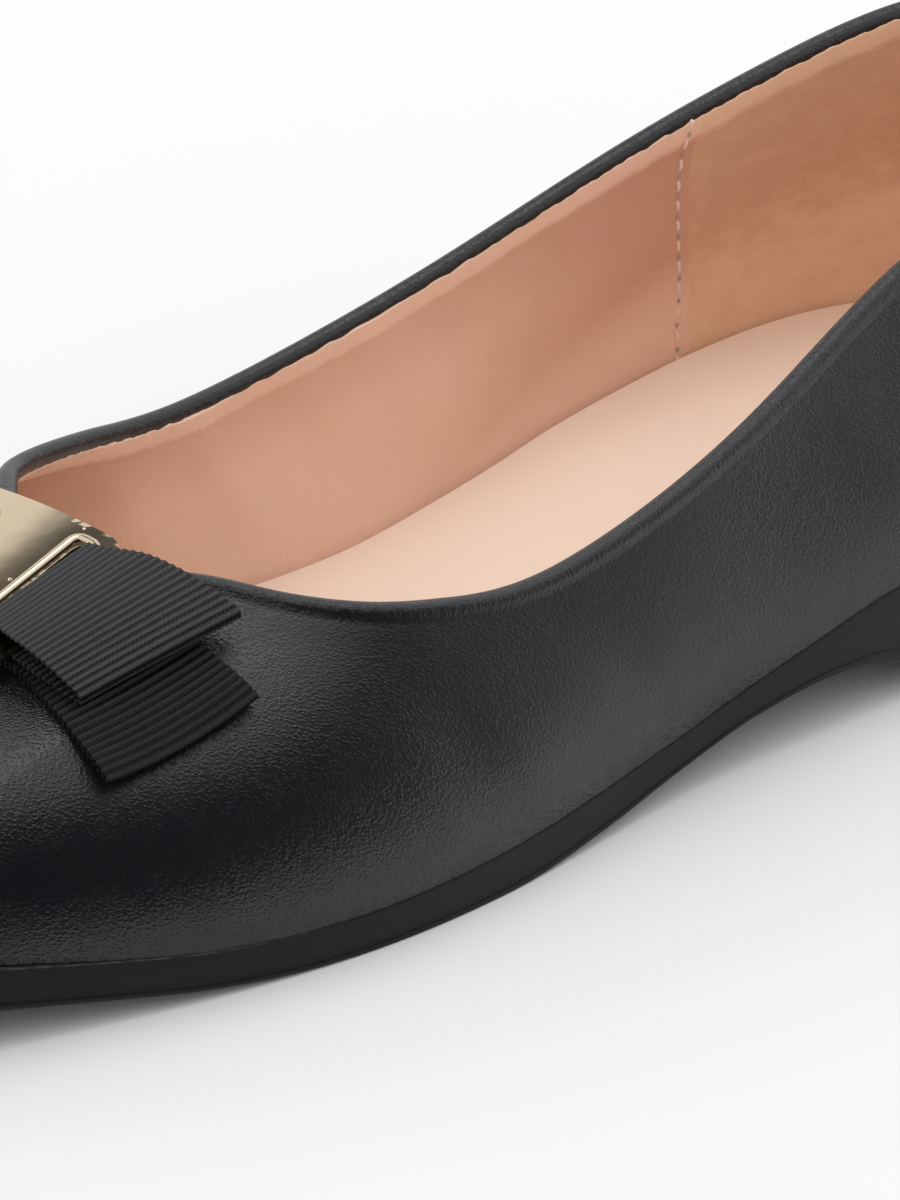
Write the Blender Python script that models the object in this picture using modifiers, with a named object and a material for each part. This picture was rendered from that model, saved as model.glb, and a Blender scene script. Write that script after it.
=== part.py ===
"""Ballet flat, left shoe: a hollow leather upper with a rolled topline, a moulded rubber sole with
a low wedge heel, an insole, and a ribbon bow held by a slotted metal plate.

Run it with Blender 4.5: blender --background --python part.py, or from the text editor.
Metres, +Z up. The toe points to -Y, and +X is the outer side of the foot. The origin lies on the
floor, under the middle of the shoe's outline.
"""

import math

import bmesh
import bpy
import numpy as np
from mathutils import Vector
from mathutils.bvhtree import BVHTree

# Driving sizes, in metres
LAST_LENGTH = 0.2464        # feather line, toe to heel
LAST_WIDTH = 0.0824         # feather line, twice its half width at the outer ball
WALL = 0.0018               # leather and lining together
FIT_GAP = 0.0003            # between pieces that meet
SOLE_THICKNESS = 0.0043     # rubber under the ball, where it is thinnest
TOE_SPRING = 0.0095         # rise of the toe tip off the floor
HEEL_RISE = 0.0136          # how much higher the heel seat is than the ball
ARCH_RISE = 0.0068          # highest place of the shank off the floor
THROAT_HEIGHT = 0.0394      # topline at the throat
DIP_HEIGHT = 0.0342         # topline at its lowest, beside the waist
COLLAR_HEIGHT = 0.0631      # topline at the back of the heel
ROLL_RADIUS = 0.00125       # round bead of the rolled topline
ROLL_FOOT = 2.2             # the wall ends this many roll radii below the topline
HEAD_PULL = 0.38            # pull of the wall's lean at the topline, as a share of its height
INSOLE_THICKNESS = 0.0024
INSOLE_BEVEL = 0.0006
INSOLE_CLEARANCE = 0.0006   # from the insole's edge to the wall, which leans in over it at the toe
SOLE_MARGIN = 0.0008        # how far the sole stands out past the upper
TREAD_ROUND = 0.0006        # how far the tread's edge is rounded in
TREAD_LIP = 0.0004          # how far the lip along the tread stands out past the side
TREAD_LIP_HEIGHT = 0.0011
SIDE_HOLLOW = 0.0002        # how far the side draws in under the rim
RIM_HEIGHT = 0.0006         # rounded rim just under the feather line
RIM_ROUND = 0.0004

# Driving sizes of the bow
PLATE_SETBACK = 0.0006      # from the throat's edge to the plate
BOW_ACROSS = 0.0020         # plate's middle, to the outer side of the last's centre line
BOW_SLOPE = math.radians(18.0)
BOW_TURN = math.radians(4.0)
RIBBON_THICKNESS = 0.0005
RIBBON_WIDTH = 0.0215
RIBBON_GAP = 0.0002         # between layers that lie on each other
UPPER_REACH = 0.0262        # plate's middle to the fold of the upper loops
LOWER_REACH = 0.0322        # plate's middle to the fold of the lower loops
LOOP_RISE = 0.0056          # crown of the upper loops over their seat
LOOP_TWIST = 0.09           # how much less the upper folds slope than the plate
UPPER_SWEEP = 0.0024        # how far the upper folds stand back towards the heel
LOWER_SWEEP = -0.0027       # the lower folds stand forward towards the toe
PLATE_LENGTH = 0.0250       # across the shoe
PLATE_DEPTH = 0.0232        # along the shoe
PLATE_THICKNESS = 0.0009
PLATE_DOME = 0.0009
PLATE_CORNER = 0.0040
SLOT_WIDTH = 0.0030
SLOT_LENGTH = 0.0174
SLOT_PLACE = 0.0083         # plate's middle to the slot's middle
SLOT_ROUND = 0.3            # corner radius, as a share of the slot's width
PLATE_LIFT = 0.4            # share of the dome by which the plate clears the ribbon's middle

# Mesh density
AROUND = 84                 # points along the feather line and the topline
WALL_ROWS = 12              # points from the feather line to the topline
BEAD_POINTS = 8             # points round the rolled edge
RIBBON_ROWS = 4             # strips across a ribbon's width
UPPER_SPAN = 2              # points from row to row of the upper ribbon's path
LOWER_SPAN = 3              # the same for the lower ribbon's path
PLATE_POINTS = 40           # points round the plate
PLATE_RINGS = 4             # rings from the plate's middle to its edge
CORNER_SHARE = 0.6          # share of those points that lie on the rounded corners
SHARP_ANGLE = math.radians(40)
NUDGE = 1e-4                # step for slopes worked out by difference
PROBE_HEIGHT = 0.020        # where the search for the vamp's face starts, over the bow
PROBE_STEP = 0.0010
PROBE_TRIES = 60
LAST_SUPPORT = 0.75         # share of a lower loop's reach that lies on the vamp
FOLD_SWELL = 0.5            # how much a lower fold opens, in ribbon thicknesses
LOWER_ROWS = np.array([0.10, 0.35, 0.60, 0.80, 0.93])
MIDDLE_ROW = 0.10           # share of a loop's reach at which its path turns flat under the plate


def table(columns, *rows):
    """The columns by name, each with one value for each row."""
    return dict(zip(columns.split(), np.array(rows, float).T))


# Sections of the upper, from the toe to the heel: where each starts on the feather line.
# along is a share of the last's length; outer and inner are half widths as shares of its width;
# flare is how far the wall leans out there, in degrees; belly is the pull of that lean.
FEET = table(
    "along outer inner flare_outer flare_inner belly",
    (0.000, -0.055, 0.055, 6, 6, 0.16),
    (0.008, 0.090, 0.195, 6, 6, 0.17),
    (0.036, 0.215, 0.315, 7, 7, 0.19),
    (0.090, 0.315, 0.405, 8, 8, 0.24),
    (0.182, 0.400, 0.465, 10, 10, 0.30),
    (0.283, 0.468, 0.480, 11, 12, 0.34),
    (0.384, 0.500, 0.445, 12, 14, 0.36),
    (0.485, 0.474, 0.375, 13, 18, 0.36),
    (0.586, 0.418, 0.322, 13, 20, 0.36),
    (0.687, 0.391, 0.318, 12, 16, 0.36),
    (0.788, 0.378, 0.332, 11, 12, 0.36),
    (0.889, 0.342, 0.320, 10, 10, 0.36),
    (0.953, 0.252, 0.245, 9, 9, 0.36),
    (0.988, 0.130, 0.130, 9, 9, 0.36),
    (1.000, 0.000, 0.000, 9, 9, 0.36),
)

# Where the same sections end on the topline. throat and back are shares of the height from the
# dip to the throat and to the back of the collar; lean is how far the wall leans in, in degrees.
HEADS = table(
    "along outer inner throat back lean_outer lean_inner",
    (0.328, 0.024, -0.024, 0.88, 0.000, 68, 68),
    (0.331, 0.096, 0.055, 0.90, 0.000, 67, 67),
    (0.339, 0.156, 0.122, 0.95, 0.000, 65, 65),
    (0.353, 0.215, 0.182, 0.96, 0.000, 60, 60),
    (0.372, 0.302, 0.243, 0.80, 0.000, 48, 50),
    (0.402, 0.388, 0.285, 0.58, 0.000, 35, 38),
    (0.443, 0.416, 0.320, 0.25, 0.000, 26, 26),
    (0.498, 0.418, 0.344, 0.00, 0.000, 18, 14),
    (0.580, 0.394, 0.346, 0.00, 0.096, 13, 7),
    (0.666, 0.350, 0.328, 0.00, 0.290, 12, 7),
    (0.758, 0.290, 0.303, 0.00, 0.545, 13, 9),
    (0.855, 0.255, 0.271, 0.00, 0.772, 14, 12),
    (0.932, 0.200, 0.220, 0.00, 0.920, 16, 15),
    (0.970, 0.103, 0.121, 0.00, 0.984, 18, 18),
    (0.984, -0.012, 0.012, 0.00, 1.000, 19, 19),
)

# The sole's heights along the shoe, as shares of the toe spring, the arch's rise and the heel's
# rise. seat is the top of the sole and tread its underside.
HEIGHTS = table(
    "along spring arch seat",
    (0.000, 1.00, 0.00, 0.00),
    (0.040, 0.88, 0.00, 0.00),
    (0.100, 0.70, 0.00, 0.00),
    (0.180, 0.49, 0.00, 0.00),
    (0.240, 0.28, 0.00, 0.00),
    (0.290, 0.11, 0.00, 0.00),
    (0.340, 0.02, 0.00, 0.00),
    (0.380, 0.00, 0.00, 0.00),
    (0.460, 0.00, 0.00, 0.03),
    (0.530, 0.00, 0.20, 0.10),
    (0.585, 0.00, 0.51, 0.20),
    (0.645, 0.00, 0.88, 0.40),
    (0.690, 0.00, 1.00, 0.56),
    (0.720, 0.00, 0.94, 0.68),
    (0.775, 0.00, 0.30, 0.82),
    (0.820, 0.00, 0.00, 0.90),
    (0.900, 0.00, 0.00, 0.98),
    (1.000, 0.00, 0.00, 1.00),
)

# The upper ribbon's path on one side, from under the plate's middle out to the fold and back
# through the slot. out is a share of UPPER_REACH, up a share of LOOP_RISE over the seat.
UPPER_PATH = table(
    "out up",
    (0.30, 0.00),
    (0.55, -0.10),
    (0.78, -0.31),
    (0.94, -0.54),
    (0.99, -0.56),
    (1.00, -0.46),
    (0.975, -0.33),
    (0.90, -0.08),
    (0.78, 0.24),
    (0.62, 0.47),
    (0.48, 0.51),
)

# The same path on its way in through the slot. along is counted from the slot's middle in slot
# widths, away from the plate's middle.
SLOT_PATH = table(
    "along up",
    (0.36, 0.48),
    (0.00, 0.34),
    (-0.32, 0.16),
)

# A ribbon's edges, as shares of its width, at shares of the way from the middle to the fold
RIBBON_EDGES = table(
    "out toe heel",
    (0.00, -0.36, 0.36),
    (0.40, -0.38, 0.38),
    (0.65, -0.44, 0.45),
    (1.00, -0.50, 0.50),
)

BLACK_LEATHER = ("black_leather", (0.012, 0.013, 0.015), 0.42, 0.0)
BLACK_RUBBER = ("black_rubber", (0.016, 0.016, 0.016), 0.55, 0.0)
BEIGE_SOCK = ("beige_sock", (0.80, 0.58, 0.46), 0.60, 0.0)
BLACK_RIBBON = ("black_grosgrain", (0.010, 0.010, 0.011), 0.70, 0.0)
GOLD_METAL = ("champagne_metal", (0.78, 0.66, 0.47), 0.16, 1.0)


# Curves through the tables

def monotone(at, knots, values):
    """A cubic through the rows that never passes a row's value between two rows."""
    step = np.diff(knots)
    slope = np.diff(values) / step
    first, second = slope[:-1], slope[1:]
    turns = first * second <= 0
    weight_a = 2 * step[1:] + step[:-1]
    weight_b = step[1:] + 2 * step[:-1]
    safe_a = np.where(turns, 1.0, first)
    safe_b = np.where(turns, 1.0, second)
    middle = np.where(turns, 0.0, (weight_a + weight_b) / (weight_a / safe_a + weight_b / safe_b))
    slopes = np.concatenate([slope[:1], middle, slope[-1:]])
    return hermite(at, knots, values, slopes)


def hermite(at, knots, values, slopes):
    i = np.clip(np.searchsorted(knots, at, side="right") - 1, 0, len(knots) - 2)
    step = knots[i + 1] - knots[i]
    t = (at - knots[i]) / step
    rise = values[i + 1] - values[i]
    near = step * slopes[i]
    far = step * slopes[i + 1]
    return values[i] + t * near + t**2 * (3 * rise - 2 * near - far) + t**3 * (near + far - 2 * rise)


def periodic(at, knots, values):
    """A closed cubic through values at knots, where the last knot is the first one again."""
    count = len(knots) - 1
    step = np.diff(knots)
    slope = (np.roll(values, -1) - values) / step
    system = np.zeros((count, count))
    for i in range(count):
        system[i, i - 1] += 1 / step[i - 1]
        system[i, i] += 2 / step[i - 1] + 2 / step[i]
        system[i, (i + 1) % count] += 1 / step[i]
    right = 3 * (np.roll(slope, 1) / np.roll(step, 1) + slope / step)
    slopes = np.linalg.solve(system, right)
    return hermite(at % knots[-1], knots, np.append(values, values[0]), np.append(slopes, slopes[0]))


# The last

def both_sides(outer, inner):
    """A column for the closed loop: toe to heel on the outer side, then back on the inner side."""
    return np.concatenate([outer, inner[-2:0:-1]])


def loop_knots():
    """Distance along the feather line from row to row, which spaces all the sections."""
    x = both_sides(FEET["outer"], -FEET["inner"]) * LAST_WIDTH
    y = both_sides(FEET["along"], FEET["along"]) * LAST_LENGTH
    steps = np.hypot(np.diff(x, append=x[0]), np.diff(y, append=y[0]))
    return np.concatenate([[0.0], np.cumsum(steps)])


KNOTS = loop_knots()
ROWS = len(FEET["along"])


def stations(count):
    """Places round the loop, spaced so that outer and inner ones pair up from toe to heel."""
    rows = np.linspace(0, ROWS - 1, count // 2 + 1)
    outer = np.interp(rows, np.arange(ROWS), KNOTS[:ROWS])
    inner = np.interp(rows, np.arange(ROWS), KNOTS[-1:ROWS - 2:-1])
    return np.concatenate([outer, inner[-2:0:-1]])


def tread_height(along):
    spring = monotone(along, HEIGHTS["along"], HEIGHTS["spring"])
    arch = monotone(along, HEIGHTS["along"], HEIGHTS["arch"])
    return TOE_SPRING * spring + ARCH_RISE * arch


def seat_height(along):
    spring = monotone(along, HEIGHTS["along"], HEIGHTS["spring"])
    seat = monotone(along, HEIGHTS["along"], HEIGHTS["seat"])
    return SOLE_THICKNESS + TOE_SPRING * spring + HEEL_RISE * seat


def plan_normals(at, plan):
    """The outward direction in plan of a closed loop, given as a function of the place on it."""
    ahead = plan(at + NUDGE) - plan(at - NUDGE)
    out = np.stack([ahead[:, 1], -ahead[:, 0]], 1)
    return out / np.linalg.norm(out, axis=1)[:, None]


def feather_plan(at):
    x = periodic(at, KNOTS, both_sides(FEET["outer"], -FEET["inner"])) * LAST_WIDTH
    y = periodic(at, KNOTS, both_sides(FEET["along"], FEET["along"])) - 0.5
    return np.stack([x, y * LAST_LENGTH], 1)


def topline_plan(at):
    x = periodic(at, KNOTS, both_sides(HEADS["outer"], -HEADS["inner"])) * LAST_WIDTH
    y = periodic(at, KNOTS, both_sides(HEADS["along"], HEADS["along"])) - 0.5
    return np.stack([x, y * LAST_LENGTH], 1)


def along_of(plan):
    return np.clip(plan[:, 1] / LAST_LENGTH + 0.5, 0.0, 1.0)


def feather_line(at):
    plan = feather_plan(at)
    return np.column_stack([plan, seat_height(along_of(plan)) + FIT_GAP])


def topline(at):
    throat = periodic(at, KNOTS, both_sides(HEADS["throat"], HEADS["throat"]))
    back = periodic(at, KNOTS, both_sides(HEADS["back"], HEADS["back"]))
    height = DIP_HEIGHT + throat * (THROAT_HEIGHT - DIP_HEIGHT) + back * (COLLAR_HEIGHT - DIP_HEIGHT)
    return np.column_stack([topline_plan(at), height])


def leaning(plan_direction, degrees):
    """A unit direction that leans from straight up towards a direction in plan."""
    angle = np.radians(degrees)[:, None]
    return np.column_stack([plan_direction * np.sin(angle), np.cos(angle)])


def wall_point(at, t):
    """The upper's outer face: at is the place round the shoe, t runs from feather line to topline."""
    foot = feather_line(at)
    head = topline(at)
    flare = periodic(at, KNOTS, both_sides(FEET["flare_outer"], FEET["flare_inner"]))
    lean = periodic(at, KNOTS, both_sides(HEADS["lean_outer"], HEADS["lean_inner"]))
    belly = periodic(at, KNOTS, both_sides(FEET["belly"], FEET["belly"]))
    span = np.linalg.norm(head - foot, axis=1)
    low = foot + leaning(plan_normals(at, feather_plan), flare) * (belly * span)[:, None]
    high = head - leaning(-plan_normals(at, topline_plan), lean) * (HEAD_PULL * span)[:, None]
    t = np.asarray(t, float).reshape(-1, 1)
    return (1 - t) ** 3 * foot + 3 * t * (1 - t) ** 2 * low + 3 * t**2 * (1 - t) * high + t**3 * head


def wall_frame(at, t):
    """Point, outward normal and upward direction along the wall."""
    point = wall_point(at, t)
    round_shoe = wall_point(at + NUDGE, t) - wall_point(at - NUDGE, t)
    upward = wall_point(at, t + NUDGE) - wall_point(at, t - NUDGE)
    normal = np.cross(round_shoe, upward)
    normal /= np.linalg.norm(normal, axis=1)[:, None]
    speed = np.linalg.norm(upward, axis=1) / (2 * NUDGE)
    return point, normal, upward / np.linalg.norm(upward, axis=1)[:, None], speed


def upper_section(at):
    """One closed section of the upper for each place: up the outside, round the roll, down inside."""
    full = np.full(len(at), 1.0)
    head, normal, upward, speed = wall_frame(at, full)
    last = 1 - ROLL_FOOT * ROLL_RADIUS / speed
    outside = []
    inside = []
    for share in np.linspace(0, 1, WALL_ROWS):
        point, out, _, _ = wall_frame(at, last * share)
        outside.append(point)
        inner = point - out * WALL
        if share == 0:
            inner[:, 2] = point[:, 2]
        inside.append(inner)
    centre = head - normal * WALL / 2 - upward * ROLL_RADIUS
    start = -math.acos(WALL / 2 / ROLL_RADIUS)
    roll = []
    for angle in np.linspace(start, math.pi - start, BEAD_POINTS):
        roll.append(centre + ROLL_RADIUS * (normal * math.cos(angle) + upward * math.sin(angle)))
    return outside + roll + inside[::-1]


# Meshes

def new_object(name, mesh, material):
    obj = bpy.data.objects.new(name, mesh)
    parts.objects.link(obj)
    mesh.materials.append(material)
    return obj


def add_ring(work, points):
    return [work.verts.new(point) for point in points]


def join_rings(work, first, second, closed=True):
    """Quads between two rings of the same length."""
    count = len(first)
    for i in range(count if closed else count - 1):
        j = (i + 1) % count
        work.faces.new((first[i], first[j], second[j], second[i]))


def cap_ring(work, ring, upwards):
    """Closes a ring round the shoe with strips from its outer side to its inner side."""
    count = len(ring)
    for i in range(count // 2):
        corners = [ring[i], ring[i + 1], ring[-i - 1], ring[-i]] if i else [ring[0], ring[1], ring[-1]]
        if i == count // 2 - 1:
            corners = [ring[i], ring[i + 1], ring[-i]]
        work.faces.new(corners if upwards else corners[::-1])


def finish_mesh(work, name):
    mesh = bpy.data.meshes.new(name)
    bmesh.ops.recalc_face_normals(work, faces=work.faces[:])
    work.to_mesh(mesh)
    work.free()
    mesh.shade_smooth()
    mesh.set_sharp_from_angle(angle=SHARP_ANGLE)
    return mesh


def make_upper(material):
    work = bmesh.new()
    rings = [add_ring(work, points) for points in upper_section(stations(AROUND))]
    for i, ring in enumerate(rings):
        join_rings(work, ring, rings[(i + 1) % len(rings)])
    return new_object("upper", finish_mesh(work, "upper"), material)


def outline(offset):
    """The feather line in plan, moved outwards, and the share of the length at each of its points."""
    at = stations(AROUND)
    plan = feather_plan(at) + offset * plan_normals(at, feather_plan)
    return plan, along_of(plan)


def ring_at(offset, height):
    plan, along = outline(offset)
    return np.column_stack([plan, height(along)])


def make_stack(name, levels, material):
    """A solid from rings round the shoe, lowest first, closed below and above."""
    work = bmesh.new()
    rings = [add_ring(work, ring_at(offset, height)) for offset, height in levels]
    for first, second in zip(rings, rings[1:]):
        join_rings(work, first, second)
    cap_ring(work, rings[0], upwards=False)
    cap_ring(work, rings[-1], upwards=True)
    return new_object(name, finish_mesh(work, name), material)


def make_sole(material):
    """Tread, a thin lip along it, the plain side and a rounded rim under the feather line."""
    side = SOLE_MARGIN
    levels = [
        (side - TREAD_ROUND, tread_height),
        (side + TREAD_LIP, lambda along: tread_height(along) + TREAD_LIP),
        (side + TREAD_LIP, lambda along: tread_height(along) + TREAD_LIP_HEIGHT),
        (side, lambda along: tread_height(along) + TREAD_LIP_HEIGHT + SIDE_HOLLOW),
        (side - SIDE_HOLLOW, lambda along: seat_height(along) - RIM_HEIGHT - RIM_ROUND),
        (side, lambda along: seat_height(along) - RIM_HEIGHT),
        (side, lambda along: seat_height(along) - RIM_HEIGHT / 2),
        (side - RIM_ROUND, seat_height),
    ]
    return make_stack("sole", levels, material)


def make_insole(material):
    inset = -(WALL + INSOLE_CLEARANCE)
    levels = [
        (inset, lambda along: seat_height(along) + FIT_GAP),
        (inset, lambda along: seat_height(along) + FIT_GAP + INSOLE_THICKNESS - INSOLE_BEVEL),
        (inset - INSOLE_BEVEL, lambda along: seat_height(along) + FIT_GAP + INSOLE_THICKNESS),
    ]
    return make_stack("insole", levels, material)


# The bow

def bow_axes():
    """Directions across the bow, along it towards the heel, and straight off the vamp."""
    across = Vector((math.cos(BOW_TURN), math.sin(BOW_TURN), 0))
    level = Vector((-math.sin(BOW_TURN), math.cos(BOW_TURN), 0))
    heelward = level * math.cos(BOW_SLOPE) + Vector((0, 0, math.sin(BOW_SLOPE)))
    return across, heelward, across.cross(heelward)


class Bow:
    """The bow's own directions on the shoe, the vamp's face seen from them, and the plate's seat."""

    def __init__(self, upper):
        along = HEADS["along"][0] * LAST_LENGTH - PLATE_SETBACK - PLATE_DEPTH / 2
        self.axes = np.array([list(axis) for axis in bow_axes()])
        self.base = np.array([BOW_ACROSS, along - LAST_LENGTH / 2, THROAT_HEIGHT])
        self.vamp = BVHTree.FromPolygons(
            [v.co for v in upper.data.vertices], [p.vertices for p in upper.data.polygons]
        )
        outs = np.linspace(-PLATE_LENGTH / 2, PLATE_LENGTH / 2, 9)
        sides = np.linspace(-PLATE_DEPTH / 2, PLATE_DEPTH / 2, 9)
        self.seat = max(self.vamp_height(out, side) for out in outs for side in sides)

    def place(self, out, heelward, up):
        return self.base + np.stack(np.broadcast_arrays(out, heelward, up), -1) @ self.axes

    def vamp_height(self, out, heelward):
        """Height of the vamp's face. Past the throat's edge it is that of the last leather."""
        down = Vector(-self.axes[2])
        for step in range(PROBE_TRIES):
            start = Vector(self.place(out, heelward - step * PROBE_STEP, PROBE_HEIGHT))
            depth = self.vamp.ray_cast(start, down)[3]
            if depth is not None and depth < 2 * PROBE_HEIGHT:
                return PROBE_HEIGHT - depth
        raise ValueError("the bow lies off the vamp")

    def bed(self, out, heelward):
        """Height on which the lower ribbon lies: the plate's seat, then the vamp, then straight on."""
        rest = min(abs(out), LAST_SUPPORT * LOWER_REACH)
        side = math.copysign(1.0, out)
        on_vamp = self.vamp_height(side * rest, heelward)
        before = self.vamp_height(side * (rest - PROBE_STEP), heelward)
        on_vamp += (on_vamp - before) / PROBE_STEP * (abs(out) - rest)
        share = np.clip((abs(out) - PLATE_LENGTH / 2) / (rest - PLATE_LENGTH / 2 + NUDGE), 0, 1)
        share = share * share * (3 - 2 * share)
        return self.seat + share * (on_vamp - self.seat)


def through(points, per_span):
    """A smooth curve through points: a closed Catmull-Rom spline."""
    count = len(points)
    found = []
    for i in range(count):
        a, b, c, d = (points[(i + k - 1) % count] for k in range(4))
        for t in np.arange(per_span) / per_span:
            found.append(
                b + 0.5 * t * (c - a)
                + t**2 * (a - 2.5 * b + 2 * c - 0.5 * d)
                + t**3 * (1.5 * (b - c) + 0.5 * (d - a))
            )
    return np.array(found)


def make_ribbon(name, bow, path, reach, sweep, height, material):
    """A closed band. path is its middle line, and height gives each of its points across the band."""
    share = np.abs(path[:, 0]) / reach
    toe = monotone(share, RIBBON_EDGES["out"], RIBBON_EDGES["toe"]) * RIBBON_WIDTH
    heel = monotone(share, RIBBON_EDGES["out"], RIBBON_EDGES["heel"]) * RIBBON_WIDTH
    toe += sweep * share**2
    heel += sweep * share**2
    work = bmesh.new()
    rings = []
    for k in np.linspace(0, 1, RIBBON_ROWS + 1):
        across = toe + k * (heel - toe)
        up = [height(out, side, level) for (out, level), side in zip(path, across)]
        rings.append(add_ring(work, bow.place(path[:, 0], across, np.array(up))))
    for first, second in zip(rings, rings[1:]):
        join_rings(work, first, second)
    obj = new_object(name, finish_mesh(work, name), material)
    thicken = obj.modifiers.new("thickness", "SOLIDIFY")
    thicken.thickness = RIBBON_THICKNESS
    thicken.offset = 0
    thicken.use_even_offset = True
    return obj


def mirrored(half):
    """A closed path from its outer half: the half, then its mirror image in reverse."""
    return np.concatenate([half, (half * (-1, 1))[::-1]])


def layer_height(count):
    """Height of the middle of a ribbon's layer over what carries it, counted from the vamp."""
    return FIT_GAP + RIBBON_THICKNESS / 2 + count * (RIBBON_THICKNESS + RIBBON_GAP)


def make_lower_ribbon(bow, material):
    """Two layers on the vamp, folded at each end."""
    out = LOWER_ROWS * LOWER_REACH
    under = np.column_stack([out, np.full(len(out), layer_height(0))])
    over = np.column_stack([out, np.full(len(out), layer_height(1))])
    under[-1, 1] -= FOLD_SWELL * RIBBON_THICKNESS / 2
    over[-1, 1] += FOLD_SWELL * RIBBON_THICKNESS
    tip = np.array([[LOWER_REACH, (under[-1, 1] + over[-1, 1]) / 2]])
    path = through(mirrored(np.concatenate([under, tip, over[::-1]])), LOWER_SPAN)
    return make_ribbon(
        "bow_lower_ribbon", bow, path, LOWER_REACH, LOWER_SWEEP,
        lambda out, side, level: bow.bed(out, side) + level, material,
    )


def make_upper_ribbon(bow, material):
    """One layer under the plate, the loops' under layers, and their tops through the slots."""
    under_loop = layer_height(2)
    under_plate = layer_height(3)
    loop_out = UPPER_PATH["out"] * UPPER_REACH
    slot_out = SLOT_PLACE + SLOT_PATH["along"] * SLOT_WIDTH
    half = np.concatenate([
        [[MIDDLE_ROW * UPPER_REACH, under_loop]],
        np.column_stack([loop_out, under_loop + UPPER_PATH["up"] * LOOP_RISE]),
        np.column_stack([slot_out, under_loop + SLOT_PATH["up"] * LOOP_RISE]),
        [[SLOT_PLACE - SLOT_WIDTH, under_plate], [MIDDLE_ROW * UPPER_REACH, under_plate]],
    ])
    path = through(mirrored(half), UPPER_SPAN)

    def height(out, side, level):
        share = abs(out) / UPPER_REACH
        return bow.seat + level - LOOP_TWIST * side * share**2

    return make_ribbon("bow_upper_ribbon", bow, path, UPPER_REACH, UPPER_SWEEP, height, material)


def make_plate(bow, material):
    """A rounded rectangle, domed across the shoe, with a slot cut near each end."""
    under = bow.seat + layer_height(4) + PLATE_LIFT * PLATE_DOME
    half_length = PLATE_LENGTH / 2
    half_depth = PLATE_DEPTH / 2
    work = bmesh.new()
    rings = []
    angles = np.linspace(0, 2 * math.pi, PLATE_POINTS, endpoint=False)
    edge = np.array([rounded_rectangle(angle, half_length, half_depth, PLATE_CORNER) for angle in angles])
    for share in np.linspace(0, 1, PLATE_RINGS + 1)[1:]:
        points = edge * share
        dome = PLATE_DOME * (points[:, 0] / half_length) ** 2
        rings.append(add_ring(work, bow.place(points[:, 0], points[:, 1], under - dome)))
    middle = work.verts.new(bow.place(0, 0, under))
    for near, far in zip(rings[0], rings[0][1:] + rings[0][:1]):
        work.faces.new((middle, near, far))
    for inner, outer in zip(rings, rings[1:]):
        join_rings(work, inner, outer)
    obj = new_object("bow_plate", finish_mesh(work, "bow_plate"), material)
    thicken = obj.modifiers.new("thickness", "SOLIDIFY")
    thicken.thickness = PLATE_THICKNESS
    thicken.offset = 1
    for side in (-1, 1):
        cut = obj.modifiers.new("slot", "BOOLEAN")
        cut.object = slot_cutter(bow, side, under)
        cut.solver = "EXACT"
    return obj


def rounded_rectangle(angle, half_length, half_depth, corner):
    """The point of a rounded rectangle's edge whose corner arcs and sides share out the angle."""
    quarter, turn = divmod(angle / (math.pi / 2) + 1e-9, 1)
    straight = (1 - CORNER_SHARE) / 2
    swing = np.clip((turn - straight) / CORNER_SHARE, 0, 1) * math.pi / 2
    sides = (half_length, half_depth) if quarter % 2 == 0 else (half_depth, half_length)
    x = sides[0] - corner + corner * math.cos(swing)
    y = corner * math.sin(swing)
    x -= max(turn - 1 + straight, 0) / straight * (sides[0] - corner)
    y += min(turn / straight, 1) * (sides[1] - corner)
    spin = quarter * math.pi / 2
    return np.array([
        x * round(math.cos(spin)) - y * round(math.sin(spin)),
        x * round(math.sin(spin)) + y * round(math.cos(spin)),
    ])


def slot_cutter(bow, side, level):
    """A box with rounded corners that passes through the plate."""
    bpy.ops.mesh.primitive_cube_add(size=1)
    cutter = bpy.context.object
    cutter.name = "slot_cutter"
    for collection in list(cutter.users_collection):
        collection.objects.unlink(cutter)
    cutters.objects.link(cutter)
    for vertex in cutter.data.vertices:
        local = np.array(vertex.co) * (SLOT_WIDTH, SLOT_LENGTH, 6 * PLATE_THICKNESS)
        vertex.co = bow.place(side * SLOT_PLACE + side * local[0], side * local[1], level + local[2])
    bevel = cutter.modifiers.new("corners", "BEVEL")
    bevel.width = SLOT_ROUND * SLOT_WIDTH
    bevel.segments = 2
    cutter.hide_render = True
    cutter.display_type = "WIRE"
    return cutter


# The shoe

def make_material(name, colour, roughness, metallic):
    material = bpy.data.materials.new(name)
    material.use_nodes = True
    shader = material.node_tree.nodes["Principled BSDF"]
    shader.inputs["Base Color"].default_value = (*colour, 1.0)
    shader.inputs["Roughness"].default_value = roughness
    shader.inputs["Metallic"].default_value = metallic
    return material


def new_collection(name):
    collection = bpy.data.collections.new(name)
    bpy.context.scene.collection.children.link(collection)
    return collection


def centre_on_origin():
    """Parents all pieces to an empty and moves it, so that the outline's middle is over the origin."""
    bpy.context.view_layer.update()
    corners = [obj.matrix_world @ Vector(corner) for obj in parts.objects for corner in obj.bound_box]
    low = [min(corner[k] for corner in corners) for k in range(2)]
    high = [max(corner[k] for corner in corners) for k in range(2)]
    base = bpy.data.objects.new("shoe", None)
    for obj in [*parts.objects, *cutters.objects]:
        obj.parent = base
    parts.objects.link(base)
    base.location = (-(low[0] + high[0]) / 2, -(low[1] + high[1]) / 2, 0)


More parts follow.
